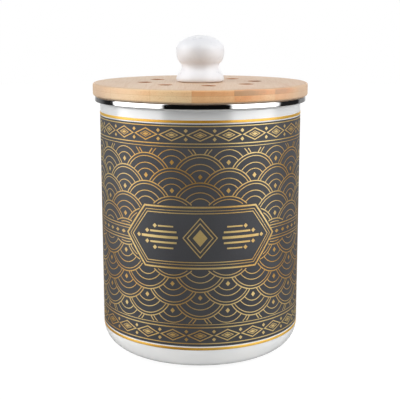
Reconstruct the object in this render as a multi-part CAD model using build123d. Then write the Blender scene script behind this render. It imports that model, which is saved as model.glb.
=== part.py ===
from build123d import *
import os

# Compost caddy: an enamelled steel canister with a vented bamboo lid, a ceramic knob and a
# charcoal filter in a tray that clips under the lid. Millimetres, +Z up, with the origin at
# the middle of the face that the canister stands on.

os.makedirs("parts", exist_ok=True)

# Canister shell, deep-drawn steel with enamel on both sides
canister_height = 203.2      # from the ground to the top of the rim band
body_radius = 79.5           # outside of the straight wall
shell_wall = 1.2             # steel and both coats of enamel
heel_radius = 18.5           # outside rounding between the wall and the base
stand_ring_width = 7.0       # flat ring that touches the ground
recess_depth = 1.6           # how far the middle of the base is pressed up
recess_slope = 5.0           # run of the step from the ring up to the pressed middle
recess_rounding = 3.0        # outside rounding at both ends of that step
lip_flare = 3.1              # how far the lip is turned out beyond the wall
flare_height = 2.0           # height over which the lip turns out
flare_rounding = 1.8         # outside rounding at both ends of the flare
lip_straight = 2.4           # upright part of the lip above the flare
lip_edge_chamfer = 0.35

# Rim band, stainless steel folded over the lip
band_sheet = 0.7             # sheet thickness
band_fit = 0.15              # sealant between the lip and the band
band_outer_leg = 4.3         # height of the leg that shows and hides the flare
band_inner_leg = 2.1         # height of the leg inside the mouth
band_rounding = 1.4          # outside rounding of the two folds

# Lid board, laminated bamboo
board_overhang = 1.55        # beyond the rim band
board_thickness = 10.0
board_rounding = 1.8         # top and bottom edge
vent_count = 8
vent_diameter = 11.5
vent_circle_diameter = 88.0
vent_start_angle = 8.0       # first vent, degrees from +X

# Plug ring, bamboo, glued under the board
mouth_clearance = 1.9        # between the canister's wall and the ring
plug_depth = 24.0
plug_wall = 9.4
plug_chamfer = 1.5           # lead-in at the lower outer edge
groove_width = 6.0
groove_depth = 3.0
groove_height = 7.0          # from the ring's lower face to the groove

# Lid seal, silicone
seal_lip_count = 3
seal_lip_thickness = 0.9     # at the root
seal_lip_tip = 0.4
seal_lip_rise = 0.7          # how far each tip stands above its root
seal_wall_clearance = 0.3    # between the lips and the canister's wall, unsqueezed

# Knob, glazed ceramic
knob_height = 36.4
knob_head_radius = 19.1
knob_head_level = 24.9       # widest part of the head, above the board
knob_belly_radius = 18.6     # where the head's belly meets the slanted underside
knob_belly_level = 19.2
knob_neck_radius = 14.7
knob_neck_level = 11.8
knob_foot_radius = 18.9
knob_foot_rounding = 2.6     # rounding under the foot
knob_pocket_margin = 1.2     # pocket beyond the insert's end
quarter_ellipse = 0.5523     # handle length that makes a Bezier curve a quarter ellipse

# Knob fastening
gasket_radius = 14.0
gasket_thickness = 1.0
gasket_bore_radius = 5.0
gasket_recess_clearance = 0.2
cement_gap = 0.1             # cement between the insert and the knob
insert_radius = 4.0
insert_length = 14.0
insert_groove_depth = 0.6    # waist round the insert that keys it into the cement
insert_groove_width = 6.0
screw_radius = 2.5
screw_thread_clearance = 0.05
screw_tip_setback = 1.1      # from the screw's tip to the insert's upper end
screw_tip_chamfer = 0.6
screw_head_radius = 4.75
screw_head_height = 3.6
screw_head_chamfer = 1.5
screw_drive_width = 1.1      # arms of the cross recess
screw_drive_depth = 1.6
screw_drive_span = 5.0
washer_radius = 6.0
washer_thickness = 1.0
bore_clearance = 0.25        # round the screw, in the board and the washer
counterbore_clearance = 0.6  # round the washer
counterbore_depth = 4.9

# Filter seat, moulded collar
seat_fit = 0.5               # between the collar's flange and the plug ring
seat_flange_width = 6.8      # beyond the collar's wall
seat_flange_thickness = 2.4
seat_wall = 2.2
seat_depth = 12.5
seat_groove_depth = 0.7      # recess that the tongues' beads click into
seat_groove_width = 2.6
seat_groove_level = 4.6      # middle of the recess above the collar's lower end
seat_edge_chamfer = 0.6

# Seat screws, pan head
seat_screw_count = 4
seat_screw_start_angle = 45.0
seat_screw_radius = 1.5
seat_screw_cover = 3.4       # wood left above the point
seat_screw_point = 2.2       # length of the tapered point
seat_screw_tip_radius = 0.3
seat_screw_head_radius = 2.9
seat_screw_head_height = 2.0
seat_screw_clearance = 0.3   # round the shank, in the flange

# Filter tray, moulded
tray_clearance = 0.3         # between the tray and the collar's bore
tray_end_gap = 0.3           # between the tray's flange and the collar's lower end
tray_floor = 2.0
tray_wall = 1.8
tray_wall_height = 9.4       # above the tray's floor
tray_flange_width = 4.0      # beyond the collar's bore
tray_edge_chamfer = 0.7
spigot_height = 1.6
bead_height = 0.5
bead_width = 1.6
bead_crest = 0.5
tongue_count = 4
tongue_width = 15.0
tongue_slit = 1.2
tongue_root = 1.8            # height of the slits' lower end above the floor
grille_hub_radius = 18.0
grille_rim = 8.3             # plain floor between the grille and the tray's wall
grille_web = 3.4             # between neighbouring rings of slots
grille_ring_count = 4
grille_bar_count = 4         # straight bars across the whole grille
grille_bar_width = 3.0
grip_length = 26.0
grip_thickness = 3.6
grip_depth = 7.2
grip_rounding = 1.4

# Filter pad, activated charcoal in a felt sleeve
pad_thickness = 8.0
pad_clearance = 0.3
pad_chamfer = 1.2

# Levels and radii that follow from the sizes above
inner_radius = body_radius - shell_wall
lip_radius = body_radius + lip_flare
lip_top = canister_height - band_sheet - band_fit
flare_top = lip_top - lip_straight
flare_bottom = flare_top - flare_height
ring_outer_radius = body_radius - heel_radius
ring_inner_radius = ring_outer_radius - stand_ring_width
band_radius = lip_radius + band_fit + band_sheet
mouth_radius = lip_radius - shell_wall - band_fit - band_sheet
board_radius = band_radius + board_overhang
board_bottom = canister_height
board_top = board_bottom + board_thickness
plug_radius = inner_radius - mouth_clearance
plug_bore_radius = plug_radius - plug_wall
plug_bottom = board_bottom - plug_depth
groove_bottom = plug_bottom + groove_height
groove_radius = plug_radius - groove_depth
seal_radius = inner_radius - seal_wall_clearance
bore_radius = screw_radius + bore_clearance
counterbore_radius = washer_radius + counterbore_clearance
counterbore_top = board_bottom + counterbore_depth
washer_bottom = counterbore_top - washer_thickness
gasket_top = board_top + gasket_thickness
insert_top = gasket_top + insert_length
screw_tip = insert_top - screw_tip_setback
seat_flange_radius = plug_bore_radius - seat_fit
seat_outer_radius = seat_flange_radius - seat_flange_width
seat_bore_radius = seat_outer_radius - seat_wall
seat_bottom = board_bottom - seat_depth
seat_groove_middle = seat_bottom + seat_groove_level
seat_flange_bottom = board_bottom - seat_flange_thickness
seat_screw_circle = (seat_outer_radius + seat_flange_radius) / 2
spigot_radius = seat_bore_radius - tray_clearance
tray_radius = spigot_radius - bead_height
tray_inner_radius = tray_radius - tray_wall
tray_flange_radius = seat_bore_radius + tray_flange_width
tray_floor_top = seat_bottom - tray_end_gap
tray_floor_bottom = tray_floor_top - tray_floor
tray_top = tray_floor_top + tray_wall_height
grille_radius = tray_inner_radius - grille_rim
pad_radius = tray_inner_radius - pad_clearance


def turned(profile):
    """Return the solid that a half-section, drawn as radius and height, sweeps about Z."""
    return revolve(Plane.XZ * profile, Axis.Z, 360)


def folded_sheet(points, roundings, thickness):
    """Return the half-section of a sheet whose outer face follows the rounded polyline."""
    outer_face = FilletPolyline(*points, radius=roundings)
    return make_face(offset(outer_face, thickness, side=Side.LEFT, closed=True))


def tube(outer, inner, bottom, top):
    """Return an upright ring on the axis between two levels."""
    return extrude(Plane.XY.offset(bottom) * (Circle(outer) - Circle(inner)), top - bottom)


def disc(radius, bottom, top):
    """Return an upright cylinder on the axis between two levels."""
    return extrude(Plane.XY.offset(bottom) * Circle(radius), top - bottom)


def drive_recess(width, span, depth, bottom):
    """Return the cross-shaped cutter of a screw's drive, upwards from the head's face."""
    cross = Rectangle(span, width) + Rectangle(width, span)
    return extrude(Plane.XY.offset(bottom) * cross, depth)


def make_canister_shell():
    """One sheet from the pressed-up base over the heel and the wall to the turned-out lip."""
    outer_face = [
        (0, recess_depth),
        (ring_inner_radius - recess_slope, recess_depth),
        (ring_inner_radius, 0),
        (body_radius, 0),
        (body_radius, flare_bottom),
        (lip_radius, flare_top),
        (lip_radius, lip_top),
    ]
    roundings = [recess_rounding, recess_rounding, heel_radius, flare_rounding, flare_rounding]
    sheet = folded_sheet(outer_face, roundings, shell_wall)
    lip_corners = sheet.vertices().group_by(Axis.Y)[-1]
    return turned(chamfer(lip_corners, lip_edge_chamfer))


def make_rim_band():
    """Sheet folded over the lip, with one leg outside and one in the mouth."""
    outer_face = [
        (band_radius, canister_height - band_outer_leg),
        (band_radius, canister_height),
        (mouth_radius, canister_height),
        (mouth_radius, canister_height - band_inner_leg),
    ]
    return turned(folded_sheet(outer_face, [band_rounding, band_rounding], band_sheet))


def make_lid_board():
    """Round board with the vents, the screw's bore, its counterbore and the pilot holes."""
    board = disc(board_radius, board_bottom, board_top)
    board = fillet(board.edges(), board_rounding)
    vent = disc(vent_diameter / 2, board_bottom, board_top)
    vents = PolarLocations(vent_circle_diameter / 2, vent_count, vent_start_angle)
    board -= [place * vent for place in vents]
    board -= disc(bore_radius, board_bottom, board_top)
    board -= disc(counterbore_radius, board_bottom, counterbore_top)
    pilot_radius = seat_screw_radius + screw_thread_clearance
    pilot = disc(pilot_radius, board_bottom, board_top - seat_screw_cover)
    return board - [place * pilot for place in seat_screw_places()]


def seat_screw_places():
    """Return the places of the seat screws round the collar's flange."""
    return PolarLocations(seat_screw_circle, seat_screw_count, seat_screw_start_angle)


def make_plug_ring():
    """Ring with a seal groove round its outside and a lead-in at its lower edge."""
    ring = tube(plug_radius, plug_bore_radius, plug_bottom, board_bottom)
    ring = chamfer(ring.edges().group_by(Axis.Z)[0], plug_chamfer)
    return ring - tube(
        plug_radius + mouth_clearance, groove_radius, groove_bottom, groove_bottom + groove_width
    )


def make_lid_seal():
    """Silicone ring that fills the groove, with thin lips reaching for the wall."""
    core = Pos(groove_radius, groove_bottom) * Rectangle(
        groove_depth, groove_width, align=(Align.MIN, Align.MIN)
    )
    pitch = groove_width / seal_lip_count
    profile = core
    for lip in range(seal_lip_count):
        root = groove_bottom + (lip + 0.5) * pitch - seal_lip_rise / 2
        tip = root + seal_lip_rise
        profile += make_face(
            Polyline(
                (plug_radius - seal_lip_tip, root - seal_lip_thickness / 2),
                (seal_radius, tip - seal_lip_tip / 2),
                (seal_radius, tip + seal_lip_tip / 2),
                (plug_radius - seal_lip_tip, root + seal_lip_thickness / 2),
                close=True,
            )
        )
    return turned(profile)


def make_knob():
    """Flared foot, waisted neck, slanted underside and domed head, hollowed from below."""
    foot = (knob_foot_radius, board_top + knob_foot_rounding)
    neck = (knob_neck_radius, board_top + knob_neck_level)
    belly = (knob_belly_radius, board_top + knob_belly_level)
    widest = (knob_head_radius, board_top + knob_head_level)
    crown = (0, board_top + knob_height)
    underside_slope = (belly[1] - neck[1]) / (belly[0] - neck[0])
    belly_corner = (widest[0], belly[1] + (widest[0] - belly[0]) * underside_slope)
    dome_rise = (crown[1] - widest[1]) * quarter_ellipse
    outline = [
        Line((0, board_top), (knob_foot_radius - knob_foot_rounding, board_top)),
        RadiusArc(
            (knob_foot_radius - knob_foot_rounding, board_top), foot, -knob_foot_rounding
        ),
        Spline(foot, neck, tangents=[(0, 1), (0, 1)]),
        Line(neck, belly),
        Bezier(belly, belly_corner, widest),
        Bezier(
            widest,
            (widest[0], widest[1] + dome_rise),
            (widest[0] * quarter_ellipse, crown[1]),
            crown,
        ),
        Line(crown, (0, board_top)),
    ]
    knob = turned(make_face(Curve() + outline))
    knob -= disc(gasket_radius + gasket_recess_clearance, board_top, gasket_top)
    return knob - disc(insert_radius + cement_gap, board_top, insert_top + knob_pocket_margin)


def make_knob_gasket():
    """Rubber washer in the recess under the foot."""
    return tube(gasket_radius, gasket_bore_radius, board_top, gasket_top)


def make_knob_insert():
    """Threaded bush with a waist round its outside."""
    bush = tube(insert_radius, screw_radius + screw_thread_clearance, gasket_top, insert_top)
    middle = (gasket_top + insert_top) / 2
    return bush - tube(
        insert_radius + cement_gap,
        insert_radius - insert_groove_depth,
        middle - insert_groove_width / 2,
        middle + insert_groove_width / 2,
    )


def make_knob_screw():
    """Pan-head screw standing head down, with a cross recess in its head."""
    head = disc(screw_head_radius, washer_bottom - screw_head_height, washer_bottom)
    head = chamfer(head.edges().group_by(Axis.Z)[0], screw_head_chamfer)
    shank = disc(screw_radius, washer_bottom, screw_tip)
    shank = chamfer(shank.edges().group_by(Axis.Z)[-1], screw_tip_chamfer)
    return head + shank - drive_recess(
        screw_drive_width, screw_drive_span, screw_drive_depth, washer_bottom - screw_head_height
    )


def make_knob_washer():
    """Flat washer between the screw's head and the end of the counterbore."""
    return tube(washer_radius, bore_radius, washer_bottom, counterbore_top)


def make_filter_seat():
    """Flanged collar with a click recess round its bore and four screw holes."""
    seat = tube(seat_outer_radius, seat_bore_radius, seat_bottom, board_bottom)
    seat += tube(seat_flange_radius, seat_bore_radius, seat_flange_bottom, board_bottom)
    seat = chamfer(seat.edges().group_by(Axis.Z)[0], seat_edge_chamfer)
    seat -= tube(
        seat_bore_radius + seat_groove_depth,
        seat_bore_radius - tray_clearance,
        seat_groove_middle - seat_groove_width / 2,
        seat_groove_middle + seat_groove_width / 2,
    )
    hole = disc(seat_screw_radius + seat_screw_clearance, seat_flange_bottom, board_bottom)
    return seat - [place * hole for place in seat_screw_places()]


def make_seat_screws():
    """Small pan-head wood screws, heads against the collar's flange."""
    tip = board_top - seat_screw_cover
    head = disc(
        seat_screw_head_radius, seat_flange_bottom - seat_screw_head_height, seat_flange_bottom
    )
    shank = disc(seat_screw_radius, seat_flange_bottom, tip - seat_screw_point)
    point = Pos(0, 0, tip) * Cone(
        seat_screw_radius, seat_screw_tip_radius, seat_screw_point,
        align=(Align.CENTER, Align.CENTER, Align.MAX),
    )
    screw = head + shank + point
    return Compound([place * screw for place in seat_screw_places()])


def make_filter_tray():
    """Flanged cup with a slotted floor, spring tongues round its wall and a pinch grip."""
    tray = disc(tray_flange_radius, tray_floor_bottom, tray_floor_top)
    tray = chamfer(tray.edges().group_by(Axis.Z)[0], tray_edge_chamfer)
    tray += tube(spigot_radius, tray_inner_radius, tray_floor_top, tray_floor_top + spigot_height)
    tray += tube(tray_radius, tray_inner_radius, tray_floor_top, tray_top)
    tray -= grille_slots()
    tray -= tongue_slits()
    return tray + tongue_beads() + pinch_grip()


def grille_slots():
    """Rings of slots through the floor, crossed by straight bars."""
    pitch = (grille_radius - grille_hub_radius + grille_web) / grille_ring_count
    slots = Sketch()
    for ring in range(grille_ring_count):
        slot_inner = grille_hub_radius + ring * pitch
        slots += Circle(slot_inner + pitch - grille_web) - Circle(slot_inner)
    for bar in range(grille_bar_count):
        angle = 180 * (bar + 0.5) / grille_bar_count
        slots -= Rot(0, 0, angle) * Rectangle(2 * tray_radius, grille_bar_width)
    return extrude(Plane.XY.offset(tray_floor_bottom) * slots, tray_floor)


def tongue_slits():
    """Pairs of slits that free each spring tongue from the wall."""
    slit_depth = tray_wall + bead_height + 2 * tray_clearance
    slit_middle = (tray_inner_radius + spigot_radius) / 2
    slit_bottom = tray_floor_top + tongue_root
    slits = []
    for turn in PolarLocations(0, tongue_count):
        for side in (-1, 1):
            slits.append(
                turn
                * Pos(slit_middle, side * (tongue_width + tongue_slit) / 2, slit_bottom)
                * Box(
                    2 * slit_depth, tongue_slit, tray_wall_height,
                    align=(Align.CENTER, Align.CENTER, Align.MIN),
                )
            )
    return slits


def tongue_beads():
    """Low beads round the outside of the tongues, level with the collar's recess."""
    bead_section = make_face(
        Polyline(
            (tray_radius - bead_height, seat_groove_middle - bead_width / 2),
            (tray_radius, seat_groove_middle - bead_width / 2),
            (spigot_radius, seat_groove_middle - bead_crest / 2),
            (spigot_radius, seat_groove_middle + bead_crest / 2),
            (tray_radius, seat_groove_middle + bead_width / 2),
            (tray_radius - bead_height, seat_groove_middle + bead_width / 2),
            close=True,
        )
    )
    bead = turned(bead_section)
    beads = []
    for turn in PolarLocations(0, tongue_count):
        beads.append(
            bead & turn * Pos(spigot_radius, 0, seat_groove_middle)
            * Box(tongue_width, tongue_width, 2 * bead_width)
        )
    return beads


def pinch_grip():
    """Rounded web under the middle of the floor, for pulling the tray out."""
    grip = Pos(0, 0, tray_floor_bottom) * Box(
        grip_length, grip_thickness, grip_depth, align=(Align.CENTER, Align.CENTER, Align.MAX)
    )
    lower_edges = grip.edges().group_by(Axis.Z)[0]
    return fillet(lower_edges + grip.edges().filter_by(Axis.Z), grip_rounding)


def make_filter_pad():
    """Round pad on the tray's floor."""
    pad = disc(pad_radius, tray_floor_top, tray_floor_top + pad_thickness)
    return chamfer(pad.edges(), pad_chamfer)


makers = {
    "canister_shell": make_canister_shell,
    "rim_band": make_rim_band,
    "lid_board": make_lid_board,
    "plug_ring": make_plug_ring,
    "lid_seal": make_lid_seal,
    "knob": make_knob,
    "knob_gasket": make_knob_gasket,
    "knob_insert": make_knob_insert,
    "knob_screw": make_knob_screw,
    "knob_washer": make_knob_washer,
    "filter_seat": make_filter_seat,
    "seat_screws": make_seat_screws,
    "filter_tray": make_filter_tray,
    "filter_pad": make_filter_pad,
}

for node, make in makers.items():
    export_step(make(), f"parts/{node}.step")
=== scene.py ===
"""Looks of the compost caddy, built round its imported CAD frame.

The sizes in this file are millimetres unless a name says otherwise, and every mesh is written in
metres. The front of the caddy faces -Y. Heights are above the face that the canister stands on.
"""

import logging
import math
from collections.abc import Callable, Sequence
from dataclasses import dataclass, field
from enum import Enum
from functools import partial

import bpy
import numpy as np
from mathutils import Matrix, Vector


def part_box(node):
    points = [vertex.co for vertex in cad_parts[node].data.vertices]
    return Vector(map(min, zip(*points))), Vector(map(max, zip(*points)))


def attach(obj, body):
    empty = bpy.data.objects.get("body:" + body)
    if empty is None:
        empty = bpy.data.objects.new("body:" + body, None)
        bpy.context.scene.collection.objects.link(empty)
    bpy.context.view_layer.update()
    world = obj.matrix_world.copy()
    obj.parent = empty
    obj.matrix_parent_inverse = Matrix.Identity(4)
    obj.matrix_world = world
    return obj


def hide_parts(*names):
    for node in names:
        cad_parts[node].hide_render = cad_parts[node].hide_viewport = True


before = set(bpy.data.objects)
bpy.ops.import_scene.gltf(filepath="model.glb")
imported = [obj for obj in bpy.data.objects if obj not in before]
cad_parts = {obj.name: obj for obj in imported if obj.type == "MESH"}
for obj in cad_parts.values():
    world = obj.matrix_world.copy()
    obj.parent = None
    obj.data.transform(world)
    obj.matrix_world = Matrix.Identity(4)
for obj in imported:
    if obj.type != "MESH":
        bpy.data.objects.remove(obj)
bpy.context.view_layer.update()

MM = 0.001
TURN = 2 * math.pi
LOG = logging.getLogger("compost_caddy")

# Edges of a mesh that turn by more than this stay sharp.
SHARP_DEGREES = 38.0
# Outline points nearer to the axis than this lie on it.
ON_AXIS = 1e-9
# The levels between which nearly all of a noise pattern lies, as inputs of a range node.
NOISE_SPAN = {"From Min": 0.3, "From Max": 0.7}
# The handle's share of a half axis with which a Bezier curve draws a quarter of an ellipse.
ELLIPSE_HANDLE = 4 / 3 * (math.sqrt(2) - 1)
# A face whose normal has at least this much of Z is level.
LEVEL_NORMAL = 0.9999
# How many times a stretch of a printed line is halved to find where it ends.
BORDER_HALVINGS = 24
# A column of a printed shape that is lower than this is a tip.
TIP_HEIGHT = 1e-6
# Added to a length that something is divided by, so that it is never zero.
NEVER_ZERO = 1e-12

Point = tuple[float, float]
Path = Callable[[float], Point]
Colour = tuple[float, float, float, float]
Tree = bpy.types.NodeTree
Node = bpy.types.Node
Socket = bpy.types.NodeSocket
Piece = bpy.types.Object


class Body(Enum):
    """The moving bodies of the caddy."""

    CANISTER = "canister"
    LID = "lid"
    TRAY = "tray"


class Slot(Enum):
    """Names of the record's material slots, one for each kind of new piece."""

    ENAMEL = "white_enamel"
    STAINLESS = "polished_stainless"
    BAMBOO = "bamboo"
    SILICONE = "silicone"
    GLAZE = "ceramic_glaze"
    FELT = "charcoal_felt"


def linear(hex_colour: str) -> Colour:
    """Turn an sRGB hex value into a linear colour.

    Args:
        hex_colour: Six hex digits after a hash sign.

    Returns:
        Linear red, green and blue, and an alpha of 1.
    """
    shares = [int(hex_colour[i : i + 2], 16) / 255 for i in (1, 3, 5)]
    red, green, blue = (
        s / 12.92 if s <= 0.04045 else ((s + 0.055) / 1.055) ** 2.4 for s in shares
    )
    return (red, green, blue, 1.0)


def add_node(
    tree: Tree,
    kind: str,
    inputs: dict[str | int, object] | None = None,
    feeds: Socket | None = None,
    stops: Sequence[tuple[float, Colour]] = (),
    **settings: object,
) -> Node:
    """Add one node to a tree, with its settings, values and links.

    Args:
        tree: The node tree of a material or the world.
        kind: Blender's name for the type of node, without the words that all of them start with.
        inputs: Values for the node's inputs, or what to link to them: an output socket, or a
            node, which gives its first output in use.
        feeds: Another node's input, to which this node's first output in use is linked.
        stops: Places and colours of a colour ramp.
        settings: Properties of the node itself.

    Returns:
        The new node.
    """
    made = tree.nodes.new(f"ShaderNode{kind}")
    for name, value in settings.items():
        setattr(made, name, value)
    for key, value in (inputs or {}).items():
        if isinstance(value, Node):
            value = next(output for output in value.outputs if output.enabled)
        if isinstance(value, Socket):
            tree.links.new(value, made.inputs[key])
        else:
            made.inputs[key].default_value = value
    if stops:
        ramp = made.color_ramp.elements
        ramp.remove(ramp[1])
        ramp[0].position, ramp[0].color = stops[0]
        for place, colour in stops[1:]:
            ramp.new(place).color = colour
    if feeds is not None:
        tree.links.new(next(output for output in made.outputs if output.enabled), feeds)
    return made


def mottle(
    tree: Tree, grain_mm: float, detail: float = 3.0, stretch: Sequence[float] = (1, 1, 1)
) -> Node:
    """Give an even random pattern of a real size.

    Args:
        tree: The material's node tree.
        grain_mm: Size of the pattern's patches.
        detail: Octaves of finer patches in them.
        stretch: Factors on X, Y and Z of the place, small along the direction of long marks.

    Returns:
        The node that gives the pattern, about 0.5 on average.
    """
    place = add_node(tree, "TexCoord").outputs["Object"]
    inputs = {
        "Vector": add_node(tree, "VectorMath", {0: place, 1: stretch}, operation="MULTIPLY"),
        "Scale": 1 / (grain_mm * MM),
        "Detail": detail,
        "Roughness": 0.55,
    }
    return add_node(tree, "TexNoise", inputs)


def tint(tree: Tree, surface: Node, share: Node, first: str | Node, second: str) -> None:
    """Colour the surface with two colours, blended by a pattern.

    Args:
        tree: The material's node tree.
        surface: Its shader.
        share: The pattern, which gives the share of the second colour.
        first: Hex value, or a node that gives the colour.
        second: Hex value.
    """
    ground = linear(first) if isinstance(first, str) else first
    inputs = {0: share, 6: ground, 7: linear(second)}
    add_node(tree, "Mix", inputs, surface.inputs["Base Color"], data_type="RGBA")


def relief(tree: Tree, surface: Node, height: Node, depth_mm: float) -> None:
    """Raise and sink the surface by a pattern.

    Args:
        tree: The material's node tree.
        surface: Its shader.
        height: The pattern, from 0 to 1.
        depth_mm: Real height of the pattern's full range.
    """
    inputs = {"Height": height, "Distance": depth_mm * MM}
    add_node(tree, "Bump", inputs, surface.inputs["Normal"])


@dataclass(frozen=True)
class Finish:
    """A surface finish: what it is made of, and the shader values that are the same all over.

    Attributes:
        title: Name of the material.
        roughness: Roughness of the shader where no node changes it.
        metallic: 1 for a bare metal.
        ior: Refractive index of the outermost layer.
        specular: Specular level, 0.5 for a plain dielectric.
    """

    title: str
    roughness: float = 0.5
    metallic: float = 0.0
    ior: float = 1.5
    specular: float = 0.5

    def material(self) -> bpy.types.Material:
        """Return the finish's Blender material, made the first time it is asked for."""
        found = bpy.data.materials.get(self.title)
        if found is not None:
            return found
        made = bpy.data.materials.new(self.title)
        made.use_nodes = True
        surface = made.node_tree.nodes["Principled BSDF"]
        surface.inputs["Roughness"].default_value = self.roughness
        surface.inputs["Metallic"].default_value = self.metallic
        surface.inputs["IOR"].default_value = self.ior
        surface.inputs["Specular IOR Level"].default_value = self.specular
        self.dress(made.node_tree, surface)
        return made

    def dress(self, tree: Tree, surface: Node) -> None:
        """Add the nodes that vary colour, gloss and relief over the surface.

        Args:
            tree: The material's node tree.
            surface: Its shader.
        """
        raise NotImplementedError

    def vary_gloss(
        self, tree: Tree, surface: Node, pattern: Node, smoother: float, rougher: float
    ) -> None:
        """Make the surface smoother and rougher by a random pattern.

        Args:
            tree: The material's node tree.
            surface: Its shader.
            pattern: The pattern.
            smoother: How far the roughness falls where the pattern is low.
            rougher: How far it rises where the pattern is high.
        """
        inputs = {
            0: pattern,
            **NOISE_SPAN,
            "To Min": self.roughness - smoother,
            "To Max": self.roughness + rougher,
        }
        add_node(tree, "MapRange", inputs, surface.inputs["Roughness"])


@dataclass(frozen=True)
class VitreousEnamel(Finish):
    """Titanium-white glass enamel fired on drawn steel: milky under a clear, faintly rippled
    gloss that is stronger than plain glass gives. Higher up the can the white is painted
    greyer up to the lip: painted shade for the shoulder under the band and the lid."""

    title: str = "vitreous_enamel_white_fired"
    roughness: float = 0.18
    ior: float = 1.8
    thick: str = "#F3F3F2"
    thin: str = "#EBECEC"
    # The next three values paint shade, not a thinner coat: the white greys from the first height
    # to the second and stays grey up to the lip.
    painted_shoulder_shade: str = "#E8E9E9"
    shoulder_shade_from_mm: float = 60.0
    shoulder_shade_to_mm: float = 175.0
    pooling_mm: float = 45.0
    haze_mm: float = 12.0
    ripple_mm: float = 3.2
    ripple_depth_mm: float = 0.006

    def dress(self, tree: Tree, surface: Node) -> None:
        """Vary the coat's thickness over some centimetres and ripple it like poured glass."""
        pooling = add_node(tree, "MapRange", {0: mottle(tree, self.pooling_mm, 1.5), **NOISE_SPAN})
        sides = {0: pooling, 6: linear(self.thick), 7: linear(self.thin)}
        coat = add_node(tree, "Mix", sides, data_type="RGBA")
        # Painted shade: the coat turns greyer from the lower height up, for the shade under the
        # band and the lid.
        place = add_node(tree, "TexCoord").outputs["Object"]
        level = add_node(tree, "SeparateXYZ", {0: place}).outputs["Z"]
        low, high = self.shoulder_shade_from_mm * MM, self.shoulder_shade_to_mm * MM
        painted_shoulder_shade = add_node(tree, "MapRange", {0: level, "From Min": low, "From Max": high})
        tint(tree, surface, painted_shoulder_shade, coat, self.painted_shoulder_shade)
        self.vary_gloss(tree, surface, mottle(tree, self.haze_mm, 2.0), 0.03, 0.05)
        relief(tree, surface, mottle(tree, self.ripple_mm, 1.0), self.ripple_depth_mm)


@dataclass(frozen=True)
class FiredTransfer(Finish):
    """Charcoal colour screen-printed on a transfer and fired on the enamel: even, satin and
    finely mottled, with less gloss than the bare glass beside it."""

    title: str = "charcoal_transfer_fired"
    roughness: float = 0.42
    specular: float = 0.08
    body_colour: str = "#444447"
    lighter: str = "#4B4C4F"
    screen_mm: float = 0.8
    screen_depth_mm: float = 0.004
    cloud_mm: float = 38.0

    def dress(self, tree: Tree, surface: Node) -> None:
        """Mottle the ink at the screen's grain, drawn coarse enough to show, and in wide clouds."""
        layers = [
            add_node(tree, "MapRange", {0: mottle(tree, grain, 2.0), **NOISE_SPAN, "To Max": most})
            for grain, most in ((self.screen_mm, 0.5), (self.cloud_mm, 0.6))
        ]
        share = add_node(tree, "Math", dict(enumerate(layers)), operation="ADD")
        tint(tree, surface, share, self.body_colour, self.lighter)
        relief(tree, surface, mottle(tree, self.screen_mm, 2.0), self.screen_depth_mm)


@dataclass(frozen=True)
class GoldLustre(Finish):
    """Bright gold colour printed and fired: between paint and metal, so it keeps its colour in
    the shade and glints a little, and it drifts from pale to ochre over some centimetres."""

    title: str = "gold_lustre_fired"
    roughness: float = 0.38
    metallic: float = 0.35
    pale: str = "#C2AA70"
    deep: str = "#A87F36"
    drift_mm: float = 55.0
    fleck_mm: float = 1.1
    fleck_depth_mm: float = 0.006

    def dress(self, tree: Tree, surface: Node) -> None:
        """Drift the colour in wide bands and break it with fine flecks."""
        wide = {0: mottle(tree, self.drift_mm, 1.0), "From Min": 0.36, "From Max": 0.62}
        fine = {0: mottle(tree, self.fleck_mm, 2.0), **NOISE_SPAN, "To Min": -0.18, "To Max": 0.18}
        layers = {0: add_node(tree, "MapRange", wide), 1: add_node(tree, "MapRange", fine)}
        share = add_node(tree, "Math", layers, operation="ADD", use_clamp=True)
        tint(tree, surface, share, self.deep, self.pale)
        relief(tree, surface, mottle(tree, self.fleck_mm, 2.0), self.fleck_depth_mm)


@dataclass(frozen=True)
class MirrorStainless(Finish):
    """Stainless steel sheet, spun and polished to a mirror: near-black and near-white reflections
    with hair-fine lines round the band.

    Attributes:
        colour: Colour of the polished sheet.
        line_colour: Colour of the polishing lines.
        line_mm: Spacing of the lines.
        line_depth_mm: Depth of the lines.
        line_radian_mm: How far the pattern runs along a line for each radian of the band, short,
            so that the lines are long.
    """

    title: str = "stainless_steel_mirror_polished"
    roughness: float = 0.04
    metallic: float = 1.0
    colour: str = "#DEDEDD"
    line_colour: str = "#D2D2D3"
    line_mm: float = 0.25
    line_depth_mm: float = 0.0006
    line_radian_mm: float = 4.0

    def dress(self, tree: Tree, surface: Node) -> None:
        """Draw the polishing lines, long round the axis and narrow across it."""
        place = add_node(tree, "TexCoord").outputs["Object"]
        parts = add_node(tree, "SeparateXYZ", {0: place}).outputs
        turn = add_node(tree, "Math", {0: parts["Y"], 1: parts["X"]}, operation="ARCTAN2")
        along = {0: turn, 1: self.line_radian_mm * MM}
        along_line = add_node(tree, "Math", along, operation="MULTIPLY")
        line_place = add_node(tree, "CombineXYZ", {0: along_line, 2: parts["Z"]})
        inputs = {"Vector": line_place, "Scale": 1 / (self.line_mm * MM), "Detail": 2.0}
        lines = add_node(tree, "TexNoise", inputs)
        share = add_node(tree, "MapRange", {0: lines, **NOISE_SPAN})
        tint(tree, surface, share, self.colour, self.line_colour)
        self.vary_gloss(tree, surface, lines, 0.015, 0.03)
        relief(tree, surface, lines, self.line_depth_mm)


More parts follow.
